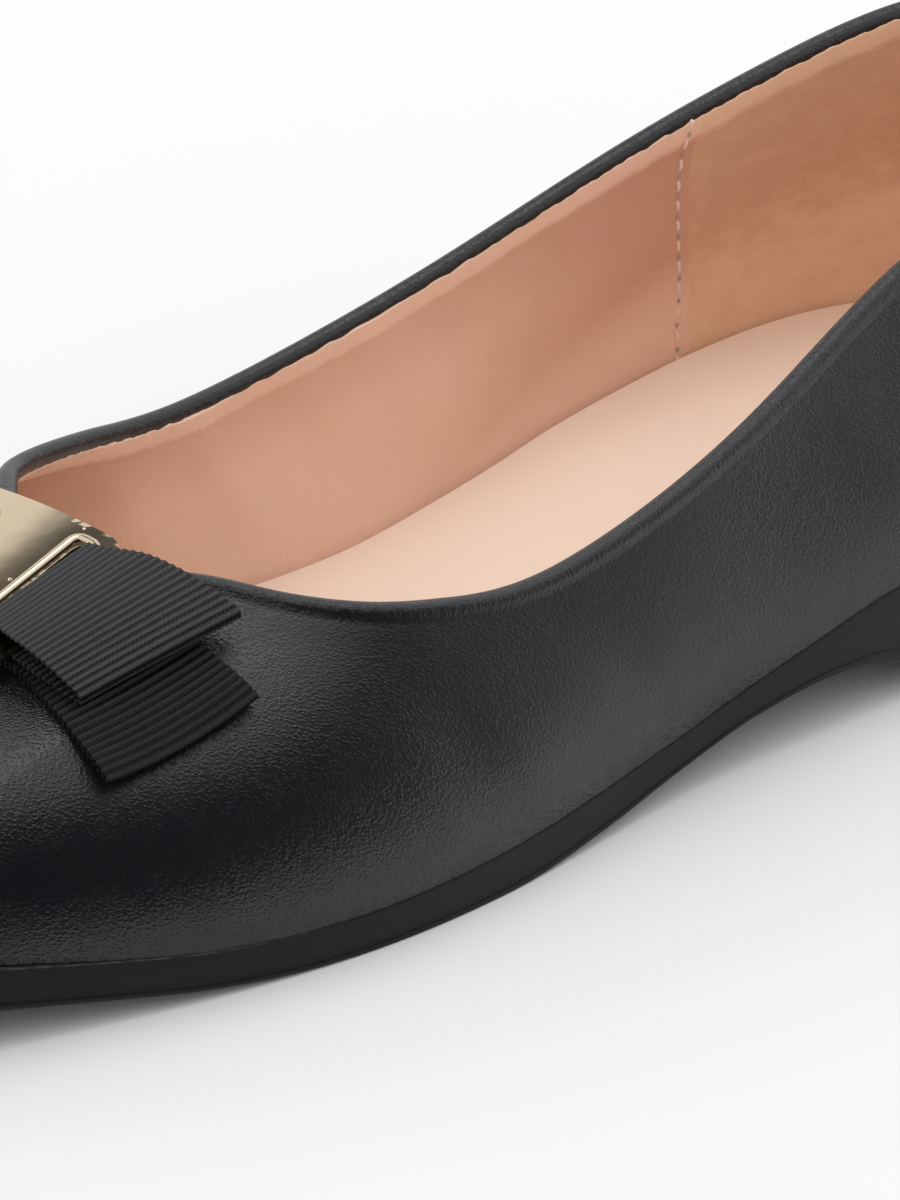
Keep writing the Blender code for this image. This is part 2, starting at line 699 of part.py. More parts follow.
def main():
    leather = make_material(*BLACK_LEATHER)
    rubber = make_material(*BLACK_RUBBER)
    sock = make_material(*BEIGE_SOCK)
    ribbon = make_material(*BLACK_RIBBON)
    gold = make_material(*GOLD_METAL)
    upper = make_upper(leather)
    make_sole(rubber)
    make_insole(sock)
    bow = Bow(upper)
    make_lower_ribbon(bow, ribbon)
    make_upper_ribbon(bow, ribbon)
    make_plate(bow, gold)
    centre_on_origin()


for old in list(bpy.data.objects):
    bpy.data.objects.remove(old)
parts = new_collection("ballet_flat")
cutters = new_collection("cutters")
main()
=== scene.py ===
"""Ballet flat with a ribbon bow: leather, linings, ribbon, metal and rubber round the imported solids.

Metres, in the frame of the solids: +Z up, the toe points to -Y, +X is the outer side of this left
shoe, and the floor is z = 0.
"""

import math

import bpy
import numpy as np
from mathutils import Matrix, Vector
from mathutils.bvhtree import BVHTree


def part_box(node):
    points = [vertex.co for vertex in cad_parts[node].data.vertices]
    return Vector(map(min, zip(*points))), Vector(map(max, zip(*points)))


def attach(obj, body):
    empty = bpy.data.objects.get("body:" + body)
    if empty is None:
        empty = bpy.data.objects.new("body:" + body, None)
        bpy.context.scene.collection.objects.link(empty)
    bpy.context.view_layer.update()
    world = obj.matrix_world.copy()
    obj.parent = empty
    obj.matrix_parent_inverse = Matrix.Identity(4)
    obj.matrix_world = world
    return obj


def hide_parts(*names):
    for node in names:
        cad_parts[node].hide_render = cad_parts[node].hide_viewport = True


bl_info = {
    "name": "Ballet Flat",
    "version": (1, 0, 0),
    "blender": (4, 5, 0),
    "location": "View3D > Sidebar > Ballet Flat",
    "description": "Builds the leather, linings, ribbon bow, plate and sole of a ballet flat",
    "category": "Object",
}

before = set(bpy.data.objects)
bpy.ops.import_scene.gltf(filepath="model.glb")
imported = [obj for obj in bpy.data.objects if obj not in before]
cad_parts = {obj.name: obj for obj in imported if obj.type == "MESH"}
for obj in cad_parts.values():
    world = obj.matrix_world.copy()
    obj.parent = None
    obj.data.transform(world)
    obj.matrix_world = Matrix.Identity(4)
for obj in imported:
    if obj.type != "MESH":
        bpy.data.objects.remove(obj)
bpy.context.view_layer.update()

# Sizes of the shoe's solids, in metres, and shares of them
LAST_LENGTH = 0.2464
LAST_WIDTH = 0.0824
WALL = 0.0018
FIT_GAP = 0.0003
SOLE_THICKNESS = 0.0043
TOE_SPRING = 0.0095
HEEL_RISE = 0.0136
ARCH_RISE = 0.0068
THROAT_HEIGHT = 0.0394
DIP_HEIGHT = 0.0342
COLLAR_HEIGHT = 0.0631
ROLL_RADIUS = 0.00125
ROLL_FOOT = 2.2             # where the wall ends below the topline, in roll radii
HEAD_PULL = 0.38
INSOLE_THICKNESS = 0.0024
SOLE_MARGIN = 0.0008
TREAD_LIP = 0.0004
SOLID_STATIONS = 84

# Sizes of the bow's solids, in the same way
PLATE_SETBACK = 0.0006
BOW_ACROSS = 0.0020
BOW_SLOPE = math.radians(18.0)
BOW_TURN = math.radians(4.0)
RIBBON_THICKNESS = 0.0005
RIBBON_WIDTH = 0.0215
RIBBON_GAP = 0.0002
UPPER_REACH = 0.0262
LOWER_REACH = 0.0322
LOOP_RISE = 0.0056
LOOP_TWIST = 0.09
UPPER_SWEEP = 0.0024
LOWER_SWEEP = -0.0027
PLATE_LENGTH = 0.0250
PLATE_DEPTH = 0.0232
PLATE_THICKNESS = 0.0009
PLATE_DOME = 0.0009
PLATE_CORNER = 0.0040
SLOT_WIDTH = 0.0030
SLOT_LENGTH = 0.0174
SLOT_PLACE = 0.0083
SLOT_ROUND = 0.3
PLATE_LIFT = 0.4
PROBE_HEIGHT = 0.020
PROBE_STEP = 0.0010
PROBE_TRIES = 60
LAST_SUPPORT = 0.75
FOLD_SWELL = 0.5
LOWER_ROWS = np.array([0.10, 0.35, 0.60, 0.80, 0.93])
MIDDLE_ROW = 0.10
NUDGE = 1e-4

# What the solids don't have, in the same way
TOE_RIM = 0.0011            # how much further the rubber comes up round the toe
UPPER_SKEW = 0.14           # share by which the fold's toe end reaches less far out
LOWER_SKEW = 0.05
LINING_STAND = 0.00010      # from the solid wall's inner face to the lining's face
LINING_GAP = 0.00015        # from the leather to the lining's hidden face
LINING_TOP = 0.98           # where the lining ends below the topline, in roll radii
EDGE_WAVE = 0.00016
EDGE_WAVE_PITCH = 0.0028
CREASE_FADE = 1.02          # 1 over the share of the wall's height at which the creases end
STRIP_RISE = 0.00045        # how far the strip along the lining's top edge stands out
FOLD_DEPTH = 0.00060
STITCH_STAND = 0.0002
STITCH_DIP = 0.00040
SELVEDGE_WAVE = 0.2         # share of the ribs' depth by which the ribbon's edges wave
SCENE_LIP = 0.6             # share of the solid's tread lip
LIP_ROUND = 0.0003
SIDE_LEAN = 0.0006          # how far the sole's side leans in at its top, behind the toe
RIM_ROUND_IN = 0.0002
RIM_ROUND_UP = 0.0004
RIM_WAVE = 0.00007
RIM_WAVE_PITCH = 0.003
RIM_WAVE_LEAST = 0.25       # share of the rim's wave behind the toe
SOCK_GAP = 0.0002
SOCK_ROUND = 0.0006
PLATE_ROUND = 0.00016

# Mesh density
AROUND = 640                # points round the leather, the sole and the insole
WALL_ROWS = 46              # points up the leather's outer face
ROWS_UPWARD = 0.9           # less than 1 sets the rows closer together towards the topline
BEAD_ROWS = 14              # points round the rolled edge
INNER_ROWS = 8              # points down the leather's hidden face
LINING_ROWS = 40            # points up each lining, and from seam to seam in the next two
FRONT_COLUMNS = 460
COUNTER_COLUMNS = 170
SEAM_POINTS = 60            # points up the seam, to measure it
STITCH_POINTS = 7           # points along one stitch
ROUND_POINTS = 5            # points round a softened edge
LOOP_POINTS = 12            # points on each span of a ribbon's path
RIB_POINTS = 6              # points along each rib of the ribbon
RIBBON_STRIPS = 20          # strips across the ribbon
BED_LINES = 4               # lines across the ribbon on which it is laid
PLATE_POINTS = 160          # points round the plate
PLATE_RINGS = 16
SLOT_POINTS = 32            # points round each slot
RIM_LENGTH_POINTS = 96      # points along each slot's rim, and round it in the next
RIM_ROUND_POINTS = 10


def table(columns, *rows):
    """The columns by name, each with one value for each row."""
    return dict(zip(columns.split(), np.array(rows, float).T))


# Sections of the upper at the feather line, from the toe to the heel, as in the solids
FEET = table(
    "along outer inner flare_outer flare_inner belly",
    (0.000, -0.055, 0.055, 6, 6, 0.16),
    (0.008, 0.090, 0.195, 6, 6, 0.17),
    (0.036, 0.215, 0.315, 7, 7, 0.19),
    (0.090, 0.315, 0.405, 8, 8, 0.24),
    (0.182, 0.400, 0.465, 10, 10, 0.30),
    (0.283, 0.468, 0.480, 11, 12, 0.34),
    (0.384, 0.500, 0.445, 12, 14, 0.36),
    (0.485, 0.474, 0.375, 13, 18, 0.36),
    (0.586, 0.418, 0.322, 13, 20, 0.36),
    (0.687, 0.391, 0.318, 12, 16, 0.36),
    (0.788, 0.378, 0.332, 11, 12, 0.36),
    (0.889, 0.342, 0.320, 10, 10, 0.36),
    (0.953, 0.252, 0.245, 9, 9, 0.36),
    (0.988, 0.130, 0.130, 9, 9, 0.36),
    (1.000, 0.000, 0.000, 9, 9, 0.36),
)

# Where the same sections end on the topline
HEADS = table(
    "along outer inner throat back lean_outer lean_inner",
    (0.328, 0.024, -0.024, 0.88, 0.000, 68, 68),
    (0.331, 0.096, 0.055, 0.90, 0.000, 67, 67),
    (0.339, 0.156, 0.122, 0.95, 0.000, 65, 65),
    (0.353, 0.215, 0.182, 0.96, 0.000, 60, 60),
    (0.372, 0.302, 0.243, 0.80, 0.000, 48, 50),
    (0.402, 0.388, 0.285, 0.58, 0.000, 35, 38),
    (0.443, 0.416, 0.320, 0.25, 0.000, 26, 26),
    (0.498, 0.418, 0.344, 0.00, 0.000, 18, 14),
    (0.580, 0.394, 0.346, 0.00, 0.096, 13, 7),
    (0.666, 0.350, 0.328, 0.00, 0.290, 12, 7),
    (0.758, 0.290, 0.303, 0.00, 0.545, 13, 9),
    (0.855, 0.255, 0.271, 0.00, 0.772, 14, 12),
    (0.932, 0.200, 0.220, 0.00, 0.920, 16, 15),
    (0.970, 0.103, 0.121, 0.00, 0.984, 18, 18),
    (0.984, -0.012, 0.012, 0.00, 1.000, 19, 19),
)

# The sole's heights along the shoe, as shares of the toe spring, arch rise, heel rise and toe rim
HEIGHTS = table(
    "along spring arch seat rim",
    (0.000, 1.00, 0.00, 0.00, 1.00),
    (0.040, 0.88, 0.00, 0.00, 1.00),
    (0.100, 0.70, 0.00, 0.00, 1.00),
    (0.180, 0.49, 0.00, 0.00, 0.60),
    (0.240, 0.28, 0.00, 0.00, 0.15),
    (0.290, 0.11, 0.00, 0.00, 0.00),
    (0.340, 0.02, 0.00, 0.00, 0.00),
    (0.380, 0.00, 0.00, 0.00, 0.00),
    (0.460, 0.00, 0.00, 0.03, 0.00),
    (0.530, 0.00, 0.20, 0.10, 0.00),
    (0.585, 0.00, 0.51, 0.20, 0.00),
    (0.645, 0.00, 0.88, 0.40, 0.00),
    (0.690, 0.00, 1.00, 0.56, 0.00),
    (0.720, 0.00, 0.94, 0.68, 0.00),
    (0.775, 0.00, 0.30, 0.82, 0.00),
    (0.820, 0.00, 0.00, 0.90, 0.00),
    (0.900, 0.00, 0.00, 0.98, 0.00),
    (1.000, 0.00, 0.00, 1.00, 0.00),
)

# The upper ribbon's path on one side: out in shares of its reach, up in shares of its rise
UPPER_PATH = table(
    "out up",
    (0.30, 0.00),
    (0.55, -0.10),
    (0.78, -0.31),
    (0.935, -0.58),
    (0.985, -0.60),
    (1.00, -0.46),
    (0.975, -0.30),
    (0.90, -0.06),
    (0.78, 0.24),
    (0.62, 0.47),
    (0.48, 0.51),
)

# The same path on its way in through the slot, in slot widths from the slot's middle
SLOT_PATH = table(
    "along up",
    (0.36, 0.48),
    (0.00, 0.34),
    (-0.32, 0.16),
)

# A ribbon's edges, as shares of its width, at shares of the way from the middle to the fold
RIBBON_EDGES = table(
    "out toe heel",
    (0.00, -0.36, 0.36),
    (0.40, -0.38, 0.38),
    (0.65, -0.44, 0.45),
    (1.00, -0.50, 0.50),
)

# Soft troughs and ridges of the leather's sides. along is a share of the last's length and up one of
# the collar's height; run and width are their half sizes in metres; slant is the angle of the run,
# from heelward towards up, in degrees; depth is a share of the crease depth, and a ridge's is
# negative.
CREASES = table(
    "side along up run width slant depth",
    (1, 0.435, 0.300, 0.016, 0.0050, -58, 1.00),
    (1, 0.475, 0.200, 0.012, 0.0045, -35, -0.70),
    (1, 0.545, 0.330, 0.014, 0.0050, -50, 0.70),
    (1, 0.600, 0.240, 0.015, 0.0060, -28, -0.80),
    (1, 0.655, 0.400, 0.016, 0.0055, -42, 0.65),
    (1, 0.720, 0.560, 0.015, 0.0060, -60, -0.60),
    (1, 0.790, 0.430, 0.018, 0.0060, -35, 0.50),
    (-1, 0.420, 0.290, 0.015, 0.0050, -55, 0.90),
    (-1, 0.500, 0.250, 0.014, 0.0050, -40, -0.70),
    (-1, 0.570, 0.330, 0.014, 0.0050, -52, 0.80),
    (-1, 0.660, 0.380, 0.016, 0.0060, -40, -0.60),
    (-1, 0.770, 0.480, 0.018, 0.0060, -50, 0.50),
)

# Soft folds of the front lining, with the same columns
LINING_FOLDS = table(
    "side along up run width slant depth",
    (-1, 0.475, 0.330, 0.012, 0.0035, -62, 0.80),
    (-1, 0.530, 0.350, 0.014, 0.0030, -55, 1.00),
    (-1, 0.575, 0.380, 0.013, 0.0035, -48, -0.80),
    (-1, 0.640, 0.440, 0.014, 0.0040, -50, 0.70),
    (-1, 0.720, 0.560, 0.012, 0.0040, -70, -0.60),
    (1, 0.500, 0.350, 0.014, 0.0035, -55, 0.90),
    (1, 0.600, 0.420, 0.014, 0.0040, -48, -0.80),
    (1, 0.700, 0.520, 0.014, 0.0040, -60, 0.70),
)

# The sole's side from the lip up: shares of its height, and of the lip that stands out there
SIDE = table(
    "share stand",
    (0.12, 1.0),
    (0.14, 0.9),
    (0.15, 0.1),
    (0.17, 0.0),
    (0.50, 0.0),
    (0.70, 0.0),
)

# Where the lining's seam lies, in rows of FEET and HEADS, from foot to topline
SEAM = table(
    "height row",
    (0.00, 10.24),
    (0.15, 10.27),
    (0.30, 10.33),
    (0.60, 10.40),
    (0.80, 10.43),
    (1.00, 10.48),
)
SEAM_OVERLAP = 0.07         # how far the front lining runs on past its stitches, in rows


# Curves through the tables

def running(steps):
    """The running total of steps, from 0."""
    return np.concatenate([[0.0], np.cumsum(steps)])


def lengths_of(vectors):
    """The length of each vector, in an axis of its own."""
    return np.linalg.norm(vectors, axis=-1, keepdims=True)


def unit(vectors):
    """Vectors with the same directions, 1 long."""
    return vectors / lengths_of(vectors)


def right_of(ahead):
    """Directions in plan to the right of others, 1 long."""
    return unit(np.stack([ahead[:, 1], -ahead[:, 0]], 1))


def monotone(at, knots, values):
    """A cubic through the rows that never passes a row's value between two rows."""
    step = np.diff(knots)
    slope = np.diff(values) / step
    first, second = slope[:-1], slope[1:]
    turns = first * second <= 0
    weight_a = 2 * step[1:] + step[:-1]
    weight_b = step[1:] + 2 * step[:-1]
    safe_a = np.where(turns, 1.0, first)
    safe_b = np.where(turns, 1.0, second)
    middle = np.where(turns, 0.0, (weight_a + weight_b) / (weight_a / safe_a + weight_b / safe_b))
    slopes = np.concatenate([slope[:1], middle, slope[-1:]])
    return hermite(at, knots, values, slopes)


def hermite(at, knots, values, slopes):
    i = np.clip(np.searchsorted(knots, at, side="right") - 1, 0, len(knots) - 2)
    step = knots[i + 1] - knots[i]
    t = (at - knots[i]) / step
    rise = values[i + 1] - values[i]
    near = step * slopes[i]
    far = step * slopes[i + 1]
    return values[i] + t * near + t**2 * (3 * rise - 2 * near - far) + t**3 * (near + far - 2 * rise)


def through(points, per_span):
    """A smooth curve through points: a closed Catmull-Rom spline."""
    count = len(points)
    found = []
    for i in range(count):
        a, b, c, d = (points[(i + k - 1) % count] for k in range(4))
        for t in np.arange(per_span) / per_span:
            found.append(
                b + 0.5 * t * (c - a)
                + t**2 * (a - 2.5 * b + 2 * c - 0.5 * d)
                + t**3 * (1.5 * (b - c) + 0.5 * (d - a))
            )
    return np.array(found)


# The last

def both_sides(outer, inner):
    """A column for the closed loop: toe to heel on the outer side, then back on the inner side."""
    return np.concatenate([outer, inner[-2:0:-1]])


def loop_knots():
    """Distance along the feather line from row to row, which spaces all the sections."""
    x = both_sides(FEET["outer"], -FEET["inner"]) * LAST_WIDTH
    y = both_sides(FEET["along"], FEET["along"]) * LAST_LENGTH
    return running(np.hypot(np.diff(x, append=x[0]), np.diff(y, append=y[0])))


KNOTS = loop_knots()
ROWS = len(FEET["along"])


class Loop:
    """A closed cubic through one value for each place round the loop. The inner side's values are the
    outer side's unless they are given."""

    def __init__(self, outer, inner=None):
        values = both_sides(outer, outer if inner is None else inner)
        count = len(values)
        step = np.diff(KNOTS)
        slope = (np.roll(values, -1) - values) / step
        system = np.zeros((count, count))
        for i in range(count):
            system[i, i - 1] += 1 / step[i - 1]
            system[i, i] += 2 / step[i - 1] + 2 / step[i]
            system[i, (i + 1) % count] += 1 / step[i]
        right = 3 * (np.roll(slope, 1) / np.roll(step, 1) + slope / step)
        slopes = np.linalg.solve(system, right)
        self.values = np.append(values, values[0])
        self.slopes = np.append(slopes, slopes[0])

    def __call__(self, at):
        return hermite(at % KNOTS[-1], KNOTS, self.values, self.slopes)


FOOT_OUT = Loop(FEET["outer"], -FEET["inner"])
FOOT_ALONG = Loop(FEET["along"])
FLARE = Loop(FEET["flare_outer"], FEET["flare_inner"])
BELLY = Loop(FEET["belly"])
HEAD_OUT = Loop(HEADS["outer"], -HEADS["inner"])
HEAD_ALONG = Loop(HEADS["along"])
THROAT = Loop(HEADS["throat"])
BACK = Loop(HEADS["back"])
LEAN = Loop(HEADS["lean_outer"], HEADS["lean_inner"])


def place_of_row(rows, side):
    """The place round the loop of a row of the tables, which need not be a whole number."""
    if side > 0:
        return np.interp(rows, np.arange(ROWS), KNOTS[:ROWS])
    return np.interp(rows, np.arange(ROWS), KNOTS[-1:ROWS - 2:-1])


def stations(count):
    """Places round the loop, spaced so that outer and inner ones pair up from toe to heel."""
    rows = np.linspace(0, ROWS - 1, count // 2 + 1)
    return np.concatenate([place_of_row(rows, 1), place_of_row(rows, -1)[-2:0:-1]])


def height_share(along, column):
    return monotone(along, HEIGHTS["along"], HEIGHTS[column])


def tread_height(along):
    return TOE_SPRING * height_share(along, "spring") + ARCH_RISE * height_share(along, "arch")


def seat_height(along):
    height = SOLE_THICKNESS + TOE_SPRING * height_share(along, "spring")
    return height + HEEL_RISE * height_share(along, "seat") + TOE_RIM * height_share(along, "rim")


def plan_normals(at, plan):
    """The outward direction in plan of a closed loop, given as a function of the place on it."""
    return right_of(plan(at + NUDGE) - plan(at - NUDGE))


def feather_plan(at):
    return np.stack([FOOT_OUT(at) * LAST_WIDTH, (FOOT_ALONG(at) - 0.5) * LAST_LENGTH], 1)


def topline_plan(at):
    return np.stack([HEAD_OUT(at) * LAST_WIDTH, (HEAD_ALONG(at) - 0.5) * LAST_LENGTH], 1)


def along_of(plan):
    return np.clip(plan[:, 1] / LAST_LENGTH + 0.5, 0.0, 1.0)


def feather_line(at):
    plan = feather_plan(at)
    return np.column_stack([plan, seat_height(along_of(plan)) + FIT_GAP])


def topline(at):
    height = DIP_HEIGHT + THROAT(at) * (THROAT_HEIGHT - DIP_HEIGHT)
    height += BACK(at) * (COLLAR_HEIGHT - DIP_HEIGHT)
    return np.column_stack([topline_plan(at), height])


def leaning(plan_direction, degrees):
    """A unit direction that leans from straight up towards a direction in plan."""
    angle = np.radians(degrees)[:, None]
    return np.column_stack([plan_direction * np.sin(angle), np.cos(angle)])


def wall_point(at, t):
    """The upper's outer face: at is the place round the shoe, t runs from feather line to topline."""
    foot = feather_line(at)
    head = topline(at)
    span = np.linalg.norm(head - foot, axis=1)
    low = foot + leaning(plan_normals(at, feather_plan), FLARE(at)) * (BELLY(at) * span)[:, None]
    high = head - leaning(-plan_normals(at, topline_plan), LEAN(at)) * (HEAD_PULL * span)[:, None]
    t = np.asarray(t, float).reshape(-1, 1)
    return (1 - t) ** 3 * foot + 3 * t * (1 - t) ** 2 * low + 3 * t**2 * (1 - t) * high + t**3 * head


def wall_frame(at, t):
    """Point, outward normal, upward direction along the wall and its speed there."""
    point = wall_point(at, t)
    round_shoe = wall_point(at + NUDGE, t) - wall_point(at - NUDGE, t)
    upward = wall_point(at, t + NUDGE) - wall_point(at, t - NUDGE)
    speed = lengths_of(upward)[:, 0] / (2 * NUDGE)
    return point, unit(np.cross(round_shoe, upward)), unit(upward), speed


def solids_shift():
    """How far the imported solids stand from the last's own frame."""
    at = stations(SOLID_STATIONS)
    rim = feather_plan(at) + (SOLE_MARGIN + TREAD_LIP) * plan_normals(at, feather_plan)
    low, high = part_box("sole")
    middle = (rim.min(axis=0) + rim.max(axis=0)) / 2
    return np.array([(low.x + high.x) / 2 - middle[0], (low.y + high.y) / 2 - middle[1], 0.0])


SHIFT = solids_shift()


def relief(points, rows, crease_depth):
    """Depth of the hand-placed troughs and ridges at points of a wall, in the last's frame."""
    found = np.zeros(len(points))
    for k in range(len(rows["side"])):
        y = points[:, 1] - (rows["along"][k] - 0.5) * LAST_LENGTH
        z = points[:, 2] - rows["up"][k] * COLLAR_HEIGHT
        slant = math.radians(rows["slant"][k])
        on_run = (y * math.cos(slant) + z * math.sin(slant)) / rows["run"][k]
        off_run = (z * math.cos(slant) - y * math.sin(slant)) / rows["width"][k]
        here = np.sign(points[:, 0]) == rows["side"][k]
        found += here * rows["depth"][k] * np.exp(-on_run**2 - off_run**2)
    return found * crease_depth


def ripple(length, pitch, seed):
    """An uneven wave along a length, from -1 to 1: a few sines with seeded pitches and phases."""
    random = np.random.default_rng(seed)
    found = np.zeros(len(length))
    weights = (1.0, 0.8, 0.6, 0.5, 0.4)
    for weight in weights:
        wave = pitch * random.uniform(0.6, 2.6)
        found += weight * np.sin(2 * math.pi * length / wave + random.uniform(0, 2 * math.pi))
    return found / sum(weights) * 1.6


# Meshes

def add_object(name, data):
    made = bpy.data.objects.new(name, data)
    bpy.context.scene.collection.objects.link(made)
    return made


def make_mesh(name, points, faces, smooth_angle=35):
    """A piece from points in the row frame, shaded smooth up to an angle in degrees."""
    mesh = bpy.data.meshes.new(name)
    mesh.from_pydata(points.tolist(), [], faces)
    mesh.update()
    mesh.shade_smooth()
    mesh.set_sharp_from_angle(angle=math.radians(smooth_angle))
    return add_object(name, mesh)


def grid_faces(rows, columns, close_rows, close_columns, first=0):
    """Quads over a grid of points, row by row."""
    row = np.arange(rows if close_rows else rows - 1)[:, None]
    column = np.arange(columns if close_columns else columns - 1)[None, :]
    below = row * columns
    above = (row + 1) % rows * columns
    right = (column + 1) % columns
    quads = np.stack(np.broadcast_arrays(below + column, below + right, above + right, above + column), -1)
    return (quads.reshape(-1, 4) + first).tolist()


def write_uv(piece, rows_u, rows_v):
    """Lengths in metres, given for each point, as the piece's texture coordinates."""
    layer = piece.data.uv_layers.new(name="lengths")
    corner = np.zeros(len(piece.data.loops), np.int32)
    piece.data.loops.foreach_get("vertex_index", corner)
    layer.data.foreach_set("uv", np.column_stack([rows_u[corner], rows_v[corner]]).ravel())


def add_piece(piece, material, slot, *nodes):
    """Gives a piece its finish and its place in the part."""
    piece.data.materials.append(material)
    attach(piece, "root")
    if nodes:
        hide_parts(*nodes)
    return piece


# Materials

RANGE_SOCKETS = ("From Min", "From Max", "To Min", "To Max")


class Finish:
    """A material's nodes, added and joined in short calls."""

    def __init__(self, name, colour, roughness, metallic=0.0):
        self.material = bpy.data.materials.new(name)
        self.material.use_nodes = True
        self.nodes = self.material.node_tree.nodes
        self.links = self.material.node_tree.links
        self.shader = self.nodes["Principled BSDF"]
        self.set("Base Color", (*colour, 1.0))
        self.set("Roughness", roughness)
        self.set("Metallic", metallic)

    def set(self, socket, value):
        self.join(self.shader.inputs[socket], value)

    def join(self, socket, value):
        """Links a socket to another one, or gives it a value."""
        if isinstance(value, bpy.types.NodeSocket):
            self.links.new(value, socket)
        else:
            socket.default_value = value

    def node(self, kind, settings=None, **inputs):
        """A node of a kind; inputs are named in lower case with underscores."""
        made = self.nodes.new(kind)
        for key, value in (settings or {}).items():
            setattr(made, key, value)
        names = {socket.name.lower().replace(" ", "_"): socket for socket in reversed(made.inputs)}
        for key, value in inputs.items():
            self.join(names[key], value)
        return made

    def place(self, rotation=(0, 0, 0), scale=(1, 1, 1)):
        """Object coordinates, turned and then stretched along the turned axes."""
        source = self.node("ShaderNodeTexCoord").outputs["Object"]
        mapping = self.node("ShaderNodeMapping", {"vector_type": "TEXTURE"}, vector=source)
        mapping.inputs["Rotation"].default_value = [math.radians(angle) for angle in rotation]
        mapping.inputs["Scale"].default_value = scale
        return mapping.outputs["Vector"]

    def lengths(self):
        """The piece's lengths as two sockets: along it, and across it."""
        split = self.split(self.node("ShaderNodeUVMap", {"uv_map": "lengths"}).outputs["UV"])
        return split["X"], split["Y"]

    def split(self, vector):
        """The sockets of a vector's three numbers."""
        return self.node("ShaderNodeSeparateXYZ", vector=vector).outputs

    def shaken(self, vector, size, amount):
        """Coordinates that soft noise pushes about by an amount in metres."""
        noise = self.node("ShaderNodeTexNoise", vector=vector, scale=1 / size, detail=2.0)
        pushed = self.node("ShaderNodeVectorMath", {"operation": "MULTIPLY_ADD"})
        self.join(pushed.inputs[0], noise.outputs["Color"])
        pushed.inputs[1].default_value = (amount, amount, amount)
        self.join(pushed.inputs[2], vector)
        return pushed.outputs["Vector"]

    def noise(self, vector, size, detail=3.0, roughness=0.5, distortion=0.0):
        """Soft noise from 0 to 1 whose lumps are about one size across."""
        made = self.node(
            "ShaderNodeTexNoise", vector=vector, scale=1 / size, detail=detail,
            roughness=roughness, distortion=distortion,
        )
        return made.outputs["Fac"]

    def cells(self, vector, size):
        """Distance to the nearest of scattered points, which lie about one size apart."""
        return self.node("ShaderNodeTexVoronoi", vector=vector, scale=1 / size).outputs["Distance"]

    def math(self, operation, first, second=0.0, third=0.0):
        made = self.nodes.new("ShaderNodeMath")
        made.operation = operation
        for socket, value in zip(made.inputs, (first, second, third)):
            self.join(socket, value)
        return made.outputs[0]

    def times(self, first, second):
        return self.math("MULTIPLY", first, second)

    def spread(self, value, low, high, to_low=0.0, to_high=1.0):
        """Maps a range smoothly to another one and stops at its ends."""
        made = self.node("ShaderNodeMapRange", {"interpolation_type": "SMOOTHSTEP"}, value=value)
        for key, number in zip(RANGE_SOCKETS, (low, high, to_low, to_high)):
            self.join(made.inputs[key], number)
        return made.outputs["Result"]

    def fall(self, value, low, high):
        """1 below a range and 0 above it."""
        return self.spread(value, low, high, 1.0, 0.0)

    def tint(self, share, first, second):
        """A colour between two, by a share from 0 to 1."""
        made = self.node("ShaderNodeMix", {"data_type": "RGBA"})
        self.join(made.inputs["Factor"], share)
        self.join(made.inputs["A"], (*first, 1.0))
        self.join(made.inputs["B"], (*second, 1.0))
        return made.outputs["Result"]

    def bump(self, height, depth):
        """Relief of a depth in metres, over the relief that is there already."""
        made = self.node("ShaderNodeBump", strength=1.0, distance=depth, height=height)
        link = next((one for one in self.links if one.to_socket == self.shader.inputs["Normal"]), None)
        if link:
            self.join(made.inputs["Normal"], link.from_socket)
        self.set("Normal", made.outputs["Normal"])


DUST_AND_RIM_HIGHLIGHT = (0.06, 0.06, 0.056)  # colour of dust specks, and of the painted highlight along the top of the sole's rim at the toe


def shaded(colour, shares):
    """A colour times one share, or times one share for each channel."""
    return tuple(float(channel * share) for channel, share in zip(colour, np.broadcast_to(shares, 3)))


def leather_finish(sizes, colours):
    """Black calf with a fine grain that runs slantwise, and gathers along the rolled edge."""
    finish = Finish("black_leather", colours.leather, 0.42)
    finish.set("Specular IOR Level", 0.56)
    straight = finish.place()
    slanted = finish.shaken(finish.place((-33, 0, 0), (1, 1.6, 1)), 0.0015, 0.0004)
    pebbles = finish.fall(finish.cells(slanted, sizes.grain_size), 0.0, 0.70)
    wrinkles = finish.noise(slanted, 0.5 * sizes.grain_size, 2.0, 0.5)
    grain = finish.math("MULTIPLY_ADD", wrinkles, 0.5, pebbles)
    patches = finish.noise(straight, 0.030, 2.0)
    grain = finish.times(grain, finish.spread(patches, 0.3, 0.7, 0.6, 1.2))
    finish.bump(grain, sizes.grain_depth)
    along, below = finish.lengths()
    near_edge = finish.times(finish.spread(below, 0.0002, 0.0008), finish.fall(below, 0.0018, 0.0030))
    strip = finish.node("ShaderNodeCombineXYZ", x=along, y=finish.times(below, 0.3))
    gathers = finish.noise(strip.outputs[0], sizes.gather_pitch, 1.5, 0.5, 0.4)
    finish.bump(finish.times(gathers, near_edge), sizes.gather_depth)
    finish.set("Roughness", finish.spread(finish.noise(straight, 0.004), 0.3, 0.7, 0.30, 0.38))
    dust = finish.fall(finish.cells(straight, 0.011), 0.010, 0.022)
    finish.set("Base Color", finish.tint(dust, colours.leather, DUST_AND_RIM_HIGHLIGHT))
    return finish.material


def painted_light_on_lining_edges(finish, low):
    """Mask of painted light: 1 on the strip along the lining's top edge and near the insole, 0 on the wall
    between them.
    """
    _, below = finish.lengths()
    strip = finish.fall(below, 0.0020, 0.0042)
    foot = finish.spread(below, 0.45 * low, low, 0.0, 0.9)
    return finish.math("MAXIMUM", strip, foot)


